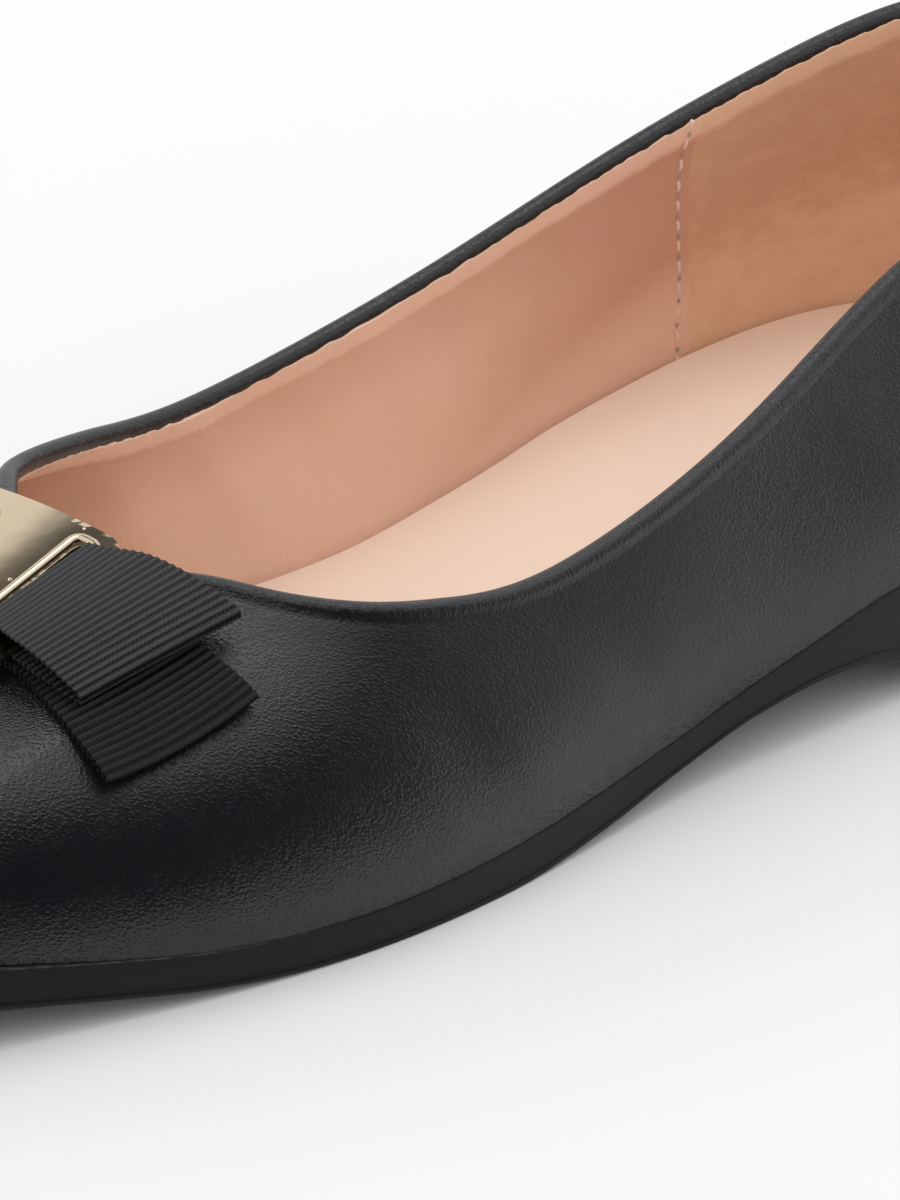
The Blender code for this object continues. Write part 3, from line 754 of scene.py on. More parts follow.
def lining_finish(colours):
    """Smooth pinkish beige lining with a faint grain. Its colour is painted light and shade: paler in the
    middle of the wall, on the strip along its top edge and near the insole, and deeper towards the toe,
    the seam and just under the top strip."""
    finish = Finish("smooth_lining", colours.lining, 0.52)
    place = finish.place()
    # painted light over the wall: paler mid-way along, and deeper as painted shade towards the toe, the
    # seam and just under the top strip
    heelward = finish.split(finish.shaken(place, 0.012, 0.012))["Y"]
    from_toe = finish.spread(heelward, -0.030, 0.008)
    painted_lightness = finish.times(from_toe, finish.spread(heelward, 0.032, 0.080, 1.0, 0.28))
    _, below = finish.lengths()
    painted_lightness = finish.times(painted_lightness, finish.spread(below, 0.004, 0.016, 0.66, 1.0))
    paler = finish.math("MAXIMUM", painted_lightness, painted_light_on_lining_edges(finish, 0.034))
    deep = shaded(colours.lining, (0.62, 0.46, 0.38))
    finish.set("Base Color", finish.tint(paler, deep, colours.lining))
    slanted = finish.place((-52, 0, 0), (1, 3.0, 1))
    wrinkles = finish.spread(finish.noise(slanted, 0.0030, 2.0, 0.5), 0.40, 0.75)
    finish.bump(wrinkles, 0.00003)
    finish.bump(finish.noise(place, 0.0007, 2.0, 0.5), 0.00011)
    return finish.material


def suede_finish(colours):
    """Napped tan lining of the heel, mottled where the nap lies one way or the other, and paler with
    painted light along its top strip and near the insole.
    """
    finish = Finish("napped_lining", colours.counter, 0.92)
    place = finish.place()
    level = finish.place((0, 0, 0), (1.8, 1.8, 1))
    mottle = finish.spread(finish.noise(level, 0.0028, 5.0, 0.66), 0.34, 0.68)
    # the mottle is the nap's own tone; the lining's edges add painted light
    paler = finish.math("MULTIPLY_ADD", mottle, 0.35, painted_light_on_lining_edges(finish, 0.036))
    deep = shaded(colours.counter, (0.74, 0.62, 0.56))
    finish.set("Base Color", finish.tint(finish.spread(paler, 0.0, 1.3), deep, colours.counter))
    finish.set("Sheen Weight", 0.25)
    finish.set("Sheen Roughness", 0.6)
    finish.bump(finish.noise(place, 0.0006, 4.0, 0.7), 0.00010)
    return finish.material


def sock_finish(colours):
    """Pale smooth insole cover with faint clouds of colour."""
    finish = Finish("insole_sock", colours.sock, 0.48)
    place = finish.place()
    finish.bump(finish.noise(place, 0.0008, 3.0, 0.6), 0.00002)
    clouds = finish.noise(place, 0.02, 2.0)
    finish.set("Base Color", finish.tint(clouds, shaded(colours.sock, 0.96), colours.sock))
    return finish.material


def rubber_finish(colours):
    """Matte black rubber with a fine moulded tooth, a few dust specks and a painted highlight in patches
    along the top of the rim at the toe.
    """
    finish = Finish("black_rubber", colours.rubber, 0.55)
    finish.set("Specular IOR Level", 0.30)
    place = finish.place()
    finish.bump(finish.noise(place, 0.0004, 2.0), 0.00002)
    along, below = finish.lengths()
    strip = finish.node("ShaderNodeCombineXYZ", x=along, y=finish.times(below, 4.0))
    by_toe = finish.fall(finish.split(place)["Y"], -0.060, -0.030)
    patches = finish.spread(finish.noise(strip.outputs[0], 0.003, 4.0, 0.7), 0.34, 0.62, 0.15, 1.0)
    # painted highlight: a thin patchy pale line along the top of the rim, only round the toe
    line = finish.times(finish.fall(below, 0.00008, 0.00030), by_toe)
    rim_highlight = finish.times(patches, line)
    specks = finish.fall(finish.cells(place, 0.006), 0.018, 0.035)
    specks_and_highlight = finish.math("MAXIMUM", specks, rim_highlight)
    finish.set("Base Color", finish.tint(specks_and_highlight, colours.rubber, DUST_AND_RIM_HIGHLIGHT))
    return finish.material


def ribbon_finish(sizes, name, colour, gloss):
    """Black grosgrain: the ribs are in the mesh, and the warp between them is a fine relief. Its colour
    carries painted light: lighter on the rib crests, darker in the grooves.
    """
    finish = Finish(name, colour, 0.55)
    along, across = finish.lengths()
    rib = finish.math("DIVIDE", along, sizes.rib_pitch)
    thread = finish.math("DIVIDE", across, sizes.warp_pitch)
    shifted = finish.math("MULTIPLY_ADD", finish.math("FLOOR", rib), 0.5, thread)
    warp = finish.math("SINE", finish.times(shifted, 2 * math.pi))
    finish.bump(warp, 0.00002)
    fuzz = finish.noise(finish.place(), 0.0003, 2.0)
    finish.bump(fuzz, 0.00006)
    # painted highlight on the rib crests and painted shade in the grooves between them
    crest = finish.math("COSINE", finish.times(rib, 2 * math.pi))
    painted_rib_light = finish.math("MULTIPLY_ADD", warp, 0.25, crest)
    low = shaded(colour, 0.3)
    high = shaded(colour, 4.5)
    finish.set("Base Color", finish.tint(finish.spread(painted_rib_light, -0.8, 1.2), low, high))
    finish.set("Specular IOR Level", gloss)
    return finish.material


def metal_finish(colours):
    """Polished champagne metal with a few pits and a soft unevenness."""
    finish = Finish("champagne_metal", colours.metal, 0.10, 1.0)
    place = finish.place()
    finish.bump(finish.noise(place, 0.006, 2.0), 0.00004)
    pits = finish.spread(finish.cells(place, 0.004), 0.03, 0.07)
    finish.bump(pits, 0.00006)
    return finish.material


def thread_finish(name, shade):
    """Dull spun thread. In a darker colour it also makes the painted shade of the needle holes."""
    finish = Finish(name, shade, 0.6)
    finish.bump(finish.noise(finish.place(), 0.0002, 2.0), 0.00004)
    return finish.material


def floor_finish(colours):
    """Plain pale matte floor."""
    finish = Finish("pale_floor", colours.floor, 0.9)
    finish.set("Specular IOR Level", 0.1)
    return finish.material


# Sizes and colours that a user would change

def length(name, description, default):
    return bpy.props.FloatProperty(
        name=name, description=description, default=default, min=0.0, unit="LENGTH", precision=5
    )


def colour(name, description, default):
    return bpy.props.FloatVectorProperty(
        name=name, description=description, default=default, size=3, min=0.0, max=1.0, subtype="COLOR"
    )


class FlatSizes(bpy.types.PropertyGroup):
    leather: length("Leather", "Thickness of the leather alone", 0.0010)
    binding: length("Lining edge", "Height of the raised strip along the lining's top edge", 0.0032)
    grain_size: length("Grain size", "Width of the leather's wrinkles", 0.00035)
    grain_depth: length("Grain depth", "Relief of the leather's grain", 0.00005)
    crease_depth: length("Crease depth", "Depth of the soft troughs in the leather", 0.00045)
    gather_pitch: length("Gather pitch", "Spacing of the gathers on the rolled edge", 0.00035)
    gather_depth: length("Gather depth", "Relief of the gathers", 0.00017)
    rib_pitch: length("Rib pitch", "Spacing of the ribbon's ribs", 0.00092)
    rib_depth: length("Rib depth", "Height of the ribbon's ribs", 0.00020)
    warp_pitch: length("Warp pitch", "Spacing of the threads across the ribs", 0.00055)
    stitch_pitch: length("Stitch pitch", "Spacing of the lining's stitches", 0.0031)
    stitch_length: length("Stitch length", "Length of one stitch", 0.0015)
    thread: length("Thread", "Thickness of the thread", 0.00045)
    slot_rim: length("Slot rim", "Thickness of the raised rim round each slot", 0.0011)


class FlatColours(bpy.types.PropertyGroup):
    leather: colour("Leather", "Leather of the upper", (0.0050, 0.0058, 0.0078))
    lining: colour("Lining", "Smooth front lining", (0.84, 0.55, 0.41))
    counter: colour("Counter lining", "Napped lining of the heel", (0.82, 0.52, 0.33))
    sock: colour("Sock", "Insole cover", (0.95, 0.77, 0.63))
    rubber: colour("Rubber", "Sole", (0.010, 0.010, 0.010))
    ribbon: colour("Ribbon", "Grosgrain ribbon", (0.0090, 0.0090, 0.0096))
    metal: colour("Metal", "Plate", (0.70, 0.57, 0.41))
    thread: colour("Thread", "Thread of the lining's seam", (0.84, 0.59, 0.47))
    floor: colour("Floor", "Floor", (0.90, 0.90, 0.90))


# The stage

VIEW_AZIMUTH = math.radians(47.716)
VIEW_ELEVATION = math.radians(24.894)
VIEW_ROLL = math.radians(1.218)
VIEW_DISTANCE = 1.2175
VIEW_TARGET = np.array([0.01954, -0.00054, 0.0258])
VIEW_LENS = 322.9           # mm, with the 36 mm sensor upright
FLOOR_RADIUS = 12
ROOM_STRENGTH = 0.95
GAP_STRENGTH = 0.1
GAP_DIRECTION = (-0.476, 0.152, 0.866)
GAP_COSINES = (0.955, 0.988)    # of the angles from the gap's middle where it starts and is darkest
SOFTBOX_PLACE = (-0.12, 0.10, 1.08)
SOFTBOX_SIZE = 0.7
SOFTBOX_WATTS = 2.6
PANEL_PLACE = (0.083, 0.050, 0.033)
PANEL_SIZE = (0.51, 0.066)
PANEL_TURN = math.radians(74.8)
PANEL_FADE = (-0.25, 0.08)      # from dim to bright, as shares of its length from its middle
PANEL_DIM = (0.01, 0.01, 0.02)
PANEL_BRIGHT = (0.46, 0.46, 0.46)


def add_camera():
    """A camera at the photograph's viewing angle."""
    back = Vector((
        math.sin(VIEW_AZIMUTH) * math.cos(VIEW_ELEVATION),
        -math.cos(VIEW_AZIMUTH) * math.cos(VIEW_ELEVATION),
        math.sin(VIEW_ELEVATION),
    ))
    right = Vector((math.cos(VIEW_AZIMUTH), math.sin(VIEW_AZIMUTH), 0))
    up = back.cross(right)
    rolled_right = right * math.cos(VIEW_ROLL) + up * math.sin(VIEW_ROLL)
    rolled_up = up * math.cos(VIEW_ROLL) - right * math.sin(VIEW_ROLL)
    data = bpy.data.cameras.new("camera")
    data.lens = VIEW_LENS
    data.clip_end = 100.0
    camera = add_object("camera", data)
    turned = Matrix((rolled_right, rolled_up, back)).transposed().to_4x4()
    place = Vector(VIEW_TARGET + SHIFT) + back * VIEW_DISTANCE
    camera.matrix_world = Matrix.Translation(place) @ turned
    bpy.context.scene.camera = camera


def add_softbox():
    """A square area light high over the shoe, which faces the middle of the floor."""
    data = bpy.data.lights.new("overhead_softbox", "AREA")
    data.shape = "RECTANGLE"
    data.size = SOFTBOX_SIZE
    data.size_y = SOFTBOX_SIZE
    data.energy = SOFTBOX_WATTS
    light = add_object("overhead_softbox", data)
    light.location = SOFTBOX_PLACE
    light.rotation_euler = Vector(SOFTBOX_PLACE).to_track_quat("Z", "Y").to_euler()


def add_dim_panel():
    """A dim panel beside the shoe that only reflections show: the glossy leather mirrors it where it
    would mirror the far floor and the walls. It is dimmest beside the toe."""
    bpy.ops.mesh.primitive_grid_add(x_subdivisions=1, y_subdivisions=1, size=1)
    panel = bpy.context.object
    panel.name = "dim_panel"
    panel.scale = (*PANEL_SIZE, 1)
    panel.rotation_euler = (math.pi / 2, 0, PANEL_TURN)
    panel.location = PANEL_PLACE
    panel.visible_camera = False
    panel.visible_diffuse = False
    panel.visible_shadow = False
    finish = Finish("dim_panel", (0, 0, 0), 1.0)
    share = finish.spread(finish.split(finish.place())["X"], *PANEL_FADE)
    finish.set("Emission Color", finish.tint(share, PANEL_DIM, PANEL_BRIGHT))
    finish.set("Emission Strength", 1.0)
    panel.data.materials.append(finish.material)


def studio_world():
    """A soft white room with one unlit gap high up behind the shoe."""
    world = bpy.data.worlds.new("studio")
    world.use_nodes = True
    nodes = world.node_tree.nodes
    links = world.node_tree.links
    source = nodes.new("ShaderNodeTexCoord").outputs["Generated"]
    toward_gap = nodes.new("ShaderNodeVectorMath")
    toward_gap.operation = "DOT_PRODUCT"
    toward_gap.inputs[1].default_value = GAP_DIRECTION
    links.new(source, toward_gap.inputs[0])
    dimmed = nodes.new("ShaderNodeMapRange")
    dimmed.interpolation_type = "SMOOTHSTEP"
    values = (*GAP_COSINES, ROOM_STRENGTH, GAP_STRENGTH)
    for key, value in zip(RANGE_SOCKETS, values):
        dimmed.inputs[key].default_value = value
    links.new(toward_gap.outputs["Value"], dimmed.inputs["Value"])
    nodes["Background"].inputs["Color"].default_value = (1, 1, 1, 1)
    links.new(dimmed.outputs["Result"], nodes["Background"].inputs["Strength"])
    return world


class FLAT_OT_stage(bpy.types.Operator):
    """Add the camera, the pale floor and the soft studio light"""
    bl_idname = "flat.stage"
    bl_label = "Stage"

    def execute(self, context):
        add_camera()
        bpy.ops.mesh.primitive_circle_add(vertices=64, radius=FLOOR_RADIUS, fill_type="NGON")
        floor = context.object
        floor.name = "floor"
        floor.data.materials.append(floor_finish(context.scene.flat_colours))
        context.scene.world = studio_world()
        add_softbox()
        add_dim_panel()
        context.scene.view_settings.view_transform = "Standard"
        return {"FINISHED"}


# The upper

def arc_lengths(points):
    """Distance along a closed ring of points, from its first one."""
    return running(lengths_of(np.diff(points, axis=0, append=points[:1])))[:-1]


def wall_ring(at, share, last):
    """A ring of the leather's outer face, with its normals. The lowest ring reaches the rubber."""
    point, out, _, _ = wall_frame(at, last * share)
    if share == 0:
        point[:, 2] -= FIT_GAP
    return point, out


def leather_rings(sizes):
    """Rings of the leather shell: up the outside, round the roll, down inside. With them comes how
    far below the topline each point lies, which is negative inside."""
    at = stations(AROUND)
    head, normal, upward, speed = wall_frame(at, np.ones(len(at)))
    last = 1 - ROLL_FOOT * ROLL_RADIUS / speed
    rings = []
    depths = []
    for share in np.linspace(0, 1, WALL_ROWS) ** ROWS_UPWARD:
        point, out = wall_ring(at, share, last)
        fade = math.sin(math.pi * min(1.0, CREASE_FADE * share)) ** 0.5
        dent = relief(point, CREASES, sizes.crease_depth) * fade
        rings.append(point - out * dent[:, None])
        depths.append((1 - last * share) * speed)
    centre = head - normal * WALL / 2 - upward * ROLL_RADIUS
    start = -math.acos(WALL / 2 / ROLL_RADIUS)
    for angle in np.linspace(start, math.pi - start, BEAD_ROWS):
        rings.append(centre + ROLL_RADIUS * (normal * math.cos(angle) + upward * math.sin(angle)))
        below = math.copysign(ROLL_RADIUS * (1 - math.sin(angle)), math.cos(angle))
        depths.append(np.full(len(at), below))
    for share in np.linspace(1, 0, INNER_ROWS):
        point, out = wall_ring(at, share, last)
        rings.append(point - out * sizes.leather)
        depths.append(np.full(len(at), -1.0))
    return np.array(rings), np.array(depths)


class FLAT_OT_upper(bpy.types.Operator):
    """Build the hollow leather upper with its rolled topline"""
    bl_idname = "flat.upper"
    bl_label = "Leather upper"

    def execute(self, context):
        sizes = context.scene.flat_sizes
        rings, depths = leather_rings(sizes)
        faces = grid_faces(len(rings), AROUND, True, True)
        points = rings.reshape(-1, 3) + SHIFT
        piece = make_mesh("upper_leather", points, faces, 60)
        along = np.tile(arc_lengths(topline(stations(AROUND))), len(rings))
        write_uv(piece, along, depths.ravel())
        add_piece(piece, leather_finish(sizes, context.scene.flat_colours), "black_leather", "upper")
        return {"FINISHED"}


# The linings

def seam_place(share, side, overlap=0.0):
    """Where the seam lies round the loop, at a share of the wall's height."""
    return place_of_row(monotone(share, SEAM["height"], SEAM["row"]) + overlap, side)


def lining_point(at, share, sizes, depth):
    """A point of the lining: at round the shoe, share up to its top edge, depth from the outer face."""
    _, _, _, speed = wall_frame(at, np.ones(len(at)))
    edge = ripple(at, EDGE_WAVE_PITCH, 5) * EDGE_WAVE
    last = 1 - (LINING_TOP * ROLL_RADIUS + edge) / speed
    point, out, _, _ = wall_frame(at, last * share)
    below = (1 - share) * last * speed
    raised = STRIP_RISE * np.exp(-((below / sizes.binding) ** 4))
    inward = depth + raised + relief(point, LINING_FOLDS, FOLD_DEPTH)
    return point - out * inward[:, None]


def seam_to_seam(side_from, side_to, count):
    """Places and heights of a lining's points, row by row, from one seam to the other."""
    shares = np.linspace(0, 1, LINING_ROWS)
    first = seam_place(shares, side_from, SEAM_OVERLAP)
    last = seam_place(shares, side_to, SEAM_OVERLAP)
    last = np.where(last < first, last + KNOTS[-1], last)
    steps = np.linspace(0, 1, count)
    at = first[:, None] + (last - first)[:, None] * steps
    return at.ravel(), np.repeat(shares, count)


def make_lining(name, side_from, side_to, count, sizes):
    """A shell with a rim all round, from the insole up to under the rolled edge."""
    at, shares = seam_to_seam(side_from, side_to, count)
    shown = lining_point(at, shares, sizes, WALL + LINING_STAND)
    hidden = lining_point(at, shares, sizes, sizes.leather + LINING_GAP)
    points = np.concatenate([shown, hidden]) + SHIFT
    size = LINING_ROWS * count
    faces = grid_faces(LINING_ROWS, count, False, False)
    faces += [face[::-1] for face in grid_faces(LINING_ROWS, count, False, False, size)]
    edge = list(range(count))
    edge += [row * count + count - 1 for row in range(1, LINING_ROWS)]
    edge += [(LINING_ROWS - 1) * count + column for column in range(count - 2, -1, -1)]
    edge += [row * count for row in range(LINING_ROWS - 2, 0, -1)]
    for a, b in zip(edge, edge[1:] + edge[:1]):
        faces.append((b, a, a + size, b + size))
    piece = make_mesh(name, points, [face[::-1] for face in faces], 50)
    wall = (1 - shares) * wall_frame(at, np.ones(len(at)))[3]
    write_uv(piece, np.tile(at, 2), np.tile(wall, 2))
    return piece


class FLAT_OT_linings(bpy.types.Operator):
    """Build the smooth front lining, the napped heel lining and the stitches between them"""
    bl_idname = "flat.linings"
    bl_label = "Linings and seam"

    def execute(self, context):
        sizes = context.scene.flat_sizes
        colours = context.scene.flat_colours
        front = make_lining("front_lining", -1, 1, FRONT_COLUMNS, sizes)
        add_piece(front, lining_finish(colours), "beige_sock")
        counter = make_lining("counter_lining", 1, -1, COUNTER_COLUMNS, sizes)
        add_piece(counter, suede_finish(colours), "beige_sock")
        thread = thread_finish("seam_thread", colours.thread)
        # half-bright thread for the needle holes: painted shade in the holes
        hole_shade = thread_finish("needle_hole", shaded(colours.thread, 0.50))
        pitch = sizes.stitch_pitch
        stitch = sizes.stitch_length
        for side, place in ((1, "outer"), (-1, "inner")):
            stitches = make_stitches(f"{place}_seam_stitches", side, sizes, 0.4 * pitch, stitch)
            add_piece(stitches, thread, "beige_sock")
            # short dark threads between the stitches: painted shade in the needle holes
            hole_shades = make_stitches(f"{place}_needle_holes", side, sizes, 0.9 * pitch, 0.2 * stitch)
            add_piece(hole_shades, hole_shade, "beige_sock")
        return {"FINISHED"}


def make_stitches(name, side, sizes, start, length):
    """Short threads along the seam, each a curve that dips into the lining at both ends."""
    data = bpy.data.curves.new(name, "CURVE")
    data.dimensions = "3D"
    data.bevel_depth = sizes.thread / 2
    data.bevel_resolution = 3
    data.use_fill_caps = True
    shares = np.linspace(0, 1, SEAM_POINTS)
    line = lining_point(seam_place(shares, side), shares, sizes, WALL)
    lengths = running(lengths_of(np.diff(line, axis=0)))
    steps = np.linspace(-0.5, 0.5, STITCH_POINTS)
    middles = np.arange(start, lengths[-1], sizes.stitch_pitch)
    rows = np.interp((middles[:, None] + steps * length).ravel(), lengths, shares)
    depth = WALL + STITCH_STAND - np.tile(STITCH_DIP * (2 * steps) ** 4, len(middles))
    thread = (lining_point(seam_place(rows, side), rows, sizes, depth) + SHIFT).reshape(-1, len(steps), 3)
    for stitch in thread:
        spline = data.splines.new("POLY")
        spline.points.add(len(stitch) - 1)
        for point, place in zip(spline.points, stitch):
            point.co = (*place, 1.0)
    return add_object(name, data)


# Sole and sock

def ring_points(offset, height):
    """A ring round the shoe, so far outside the feather line: one offset, or one for each point."""
    at = stations(AROUND)
    plan = feather_plan(at) + np.reshape(offset, (-1, 1)) * plan_normals(at, feather_plan)
    along = along_of(plan)
    return np.column_stack([plan, height(along)])


def cap_faces(first, count, upwards):
    """Strips from the outer side of a ring to its inner side."""
    faces = [(first, first + 1, first + count - 1)]
    for i in range(1, count // 2 - 1):
        faces.append((first + i, first + i + 1, first + count - i - 1, first + count - i))
    faces.append((first + count // 2 - 1, first + count // 2, first + count // 2 + 1))
    return faces if upwards else [face[::-1] for face in faces]


def make_stack(name, rings, smooth_angle):
    """A closed piece from rings round the shoe, lowest first."""
    points = np.concatenate(rings) + SHIFT
    faces = grid_faces(len(rings), AROUND, False, True)
    faces += cap_faces(0, AROUND, False)
    faces += cap_faces((len(rings) - 1) * AROUND, AROUND, True)
    return make_mesh(name, points, faces, smooth_angle)


class FLAT_OT_sole(bpy.types.Operator):
    """Build the rubber sole with its lip, plain side and rim"""
    bl_idname = "flat.sole"
    bl_label = "Rubber sole"

    def execute(self, context):
        side = SOLE_MARGIN
        lip = side + SCENE_LIP * TREAD_LIP
        rings = []
        for turn in np.linspace(0, math.pi / 2, ROUND_POINTS):
            ring = ring_points(lip - LIP_ROUND * (1 - math.sin(turn)), tread_height)
            ring[:, 2] += LIP_ROUND * (1 - math.cos(turn))
            rings.append(ring)
        low = ring_points(side, tread_height)
        high = ring_points(side, seat_height)
        raised = height_share(along_of(high), "rim")
        leaning_in = SIDE_LEAN * (1 - raised)
        for share, stand in zip(SIDE["share"], SIDE["stand"]):
            ring = ring_points(side + SCENE_LIP * stand * TREAD_LIP - share * leaning_in, tread_height)
            ring[:, 2] = low[:, 2] + share * (high[:, 2] - low[:, 2])
            rings.append(ring)
        wobble = ripple(arc_lengths(high), RIM_WAVE_PITCH, 11) * (RIM_WAVE_LEAST + raised)
        for turn in np.linspace(0, math.pi / 2, ROUND_POINTS):
            ring = ring_points(side - leaning_in - RIM_ROUND_IN * (1 - math.cos(turn)), seat_height)
            ring[:, 2] += RIM_ROUND_UP * (math.sin(turn) - 1) + RIM_WAVE * wobble * math.sin(turn)
            rings.append(ring)
        piece = make_stack("rubber_sole", rings, 50)
        below = np.concatenate([high[:, 2] - ring[:, 2] for ring in rings])
        write_uv(piece, np.tile(arc_lengths(high), len(rings)), below)
        add_piece(piece, rubber_finish(context.scene.flat_colours), "black_rubber", "sole")
        return {"FINISHED"}


class FLAT_OT_sock(bpy.types.Operator):
    """Build the insole with its smooth cover"""
    bl_idname = "flat.sock"
    bl_label = "Insole sock"

    def execute(self, context):
        inset = -(WALL + SOCK_GAP)
        top = FIT_GAP + INSOLE_THICKNESS
        levels = [(inset, FIT_GAP), (inset, top - SOCK_ROUND)]
        for turn in np.linspace(0.2, math.pi / 2, ROUND_POINTS):
            inward = SOCK_ROUND * (1 - math.cos(turn))
            levels.append((inset - inward, top - SOCK_ROUND * (1 - math.sin(turn))))
        rings = []
        for offset, level in levels:
            rings.append(ring_points(offset, lambda along, level=level: seat_height(along) + level))
        piece = make_stack("insole_sock", rings, 50)
        add_piece(piece, sock_finish(context.scene.flat_colours), "beige_sock", "insole")
        return {"FINISHED"}


# The bow

def bow_axes():
    """Directions across the bow, along it towards the heel, and straight off the vamp."""
    across = Vector((math.cos(BOW_TURN), math.sin(BOW_TURN), 0))
    level = Vector((-math.sin(BOW_TURN), math.cos(BOW_TURN), 0))
    heelward = level * math.cos(BOW_SLOPE) + Vector((0, 0, math.sin(BOW_SLOPE)))
    return across, heelward, across.cross(heelward)


class Bow:
    """The bow's own directions on the shoe, the vamp's face seen from them, and the plate's seat."""

    def __init__(self):
        along = HEADS["along"][0] * LAST_LENGTH - PLATE_SETBACK - PLATE_DEPTH / 2
        self.axes = np.array([list(axis) for axis in bow_axes()])
        self.base = np.array([BOW_ACROSS, along - LAST_LENGTH / 2, THROAT_HEIGHT]) + SHIFT
        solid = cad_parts["upper"].data
        self.vamp = BVHTree.FromPolygons(
            [vertex.co for vertex in solid.vertices], [face.vertices for face in solid.polygons]
        )
        outs = np.linspace(-PLATE_LENGTH / 2, PLATE_LENGTH / 2, 9)
        sides = np.linspace(-PLATE_DEPTH / 2, PLATE_DEPTH / 2, 9)
        self.seat = max(self.vamp_height(out, side) for out in outs for side in sides)

    def place(self, out, heelward, up):
        return self.base + np.stack(np.broadcast_arrays(out, heelward, up), -1) @ self.axes

    def vamp_height(self, out, heelward):
        """Height of the vamp's face. Past the throat's edge it is that of the last leather."""
        down = Vector(-self.axes[2])
        for step in range(PROBE_TRIES):
            start = Vector(self.place(out, heelward - step * PROBE_STEP, PROBE_HEIGHT))
            depth = self.vamp.ray_cast(start, down)[3]
            if depth is not None and depth < 2 * PROBE_HEIGHT:
                return PROBE_HEIGHT - depth
        raise ValueError("the bow lies off the vamp")

    def bed(self, out, heelward):
        """Height on which the lower ribbon lies: the plate's seat, then the vamp, then straight on."""
        rest = min(abs(out), LAST_SUPPORT * LOWER_REACH)
        side = math.copysign(1.0, out)
        on_vamp = self.vamp_height(side * rest, heelward)
        before = self.vamp_height(side * (rest - PROBE_STEP), heelward)
        on_vamp += (on_vamp - before) / PROBE_STEP * (abs(out) - rest)
        share = np.clip((abs(out) - PLATE_LENGTH / 2) / (rest - PLATE_LENGTH / 2 + NUDGE), 0, 1)
        share = share * share * (3 - 2 * share)
        return self.seat + share * (on_vamp - self.seat)


def mirrored(half):
    """A closed path from its outer half: the half, then its mirror image in reverse."""
    return np.concatenate([half, (half * (-1, 1))[::-1]])


def layer_height(count):
    """Height of the middle of a ribbon's layer over what carries it, counted from the vamp."""
    return FIT_GAP + RIBBON_THICKNESS / 2 + count * (RIBBON_THICKNESS + RIBBON_GAP)


def evenly(path, pitch):
    """A closed path with a whole number of ribs round it, and how far along it each point lies."""
    closed = np.vstack([path, path[:1]])
    lengths = running(lengths_of(np.diff(closed, axis=0)))
    ribs = round(lengths[-1] / pitch)
    at = np.linspace(0, lengths[-1], ribs * RIB_POINTS, endpoint=False)
    points = np.column_stack([np.interp(at, lengths, closed[:, k]) for k in range(2)])
    return points, at


def make_ribbon(name, bow, path, reach, sweep, skew, height, sizes):
    """A closed ribbed band. path is its middle line, height is a function that gives each point's
    height off the vamp, and skew is the share by which the toe edge reaches less far out."""
    path, lengths = evenly(path, sizes.rib_pitch)
    share = np.abs(path[:, 0]) / reach
    toe = monotone(share, RIBBON_EDGES["out"], RIBBON_EDGES["toe"]) * RIBBON_WIDTH
    heel = monotone(share, RIBBON_EDGES["out"], RIBBON_EDGES["heel"]) * RIBBON_WIDTH
    toe += sweep * share**2
    heel += sweep * share**2
    few = np.linspace(0, 1, BED_LINES)
    many = np.linspace(0, 1, RIBBON_STRIPS + 1)
    heights = np.array([
        [
            height(out * (1 - skew * (1 - k)), low + k * (high - low), level)
            for (out, level), low, high in zip(path, toe, heel)
        ]
        for k in few
    ])
    bend = np.polynomial.polynomial.polyfit(few, heights, 2)
    heights = np.polynomial.polynomial.polyval(many, bend).T
    phase = 2 * math.pi * np.arange(len(path)) / RIB_POINTS
    serrated = 1 + SELVEDGE_WAVE * sizes.rib_depth / RIBBON_WIDTH * np.cos(phase)
    rows = []
    for k, up in zip(many, heights):
        across = (toe + heel) / 2 + (k - 0.5) * (heel - toe) * serrated
        rows.append(bow.place(path[:, 0] * (1 - skew * (1 - k)), across, up))
    middle = np.array(rows)
    ahead = np.roll(middle, -1, axis=1) - np.roll(middle, 1, axis=1)
    ahead = (ahead + np.roll(ahead, 1, axis=1) + np.roll(ahead, -1, axis=1)) / 3
    normal = unit(np.cross(np.gradient(middle, axis=0), ahead))
    half = RIBBON_THICKNESS / 2 - sizes.rib_depth / 4 + sizes.rib_depth / 2 * np.cos(phase)
    half = half[None, :, None]
    outline = np.concatenate([middle + normal * half, (middle - normal * half)[::-1]])
    points = outline.reshape(-1, 3)
    faces = grid_faces(len(outline), len(path), True, True)
    piece = make_mesh(name, points, faces, 60)
    across_length = np.linspace(0, RIBBON_WIDTH, RIBBON_STRIPS + 1)
    across_length = np.concatenate([across_length, across_length[::-1]])
    write_uv(piece, np.tile(lengths, len(outline)), np.repeat(across_length, len(path)))
    return piece, (RIBBON_WIDTH, float(lengths[-1]))


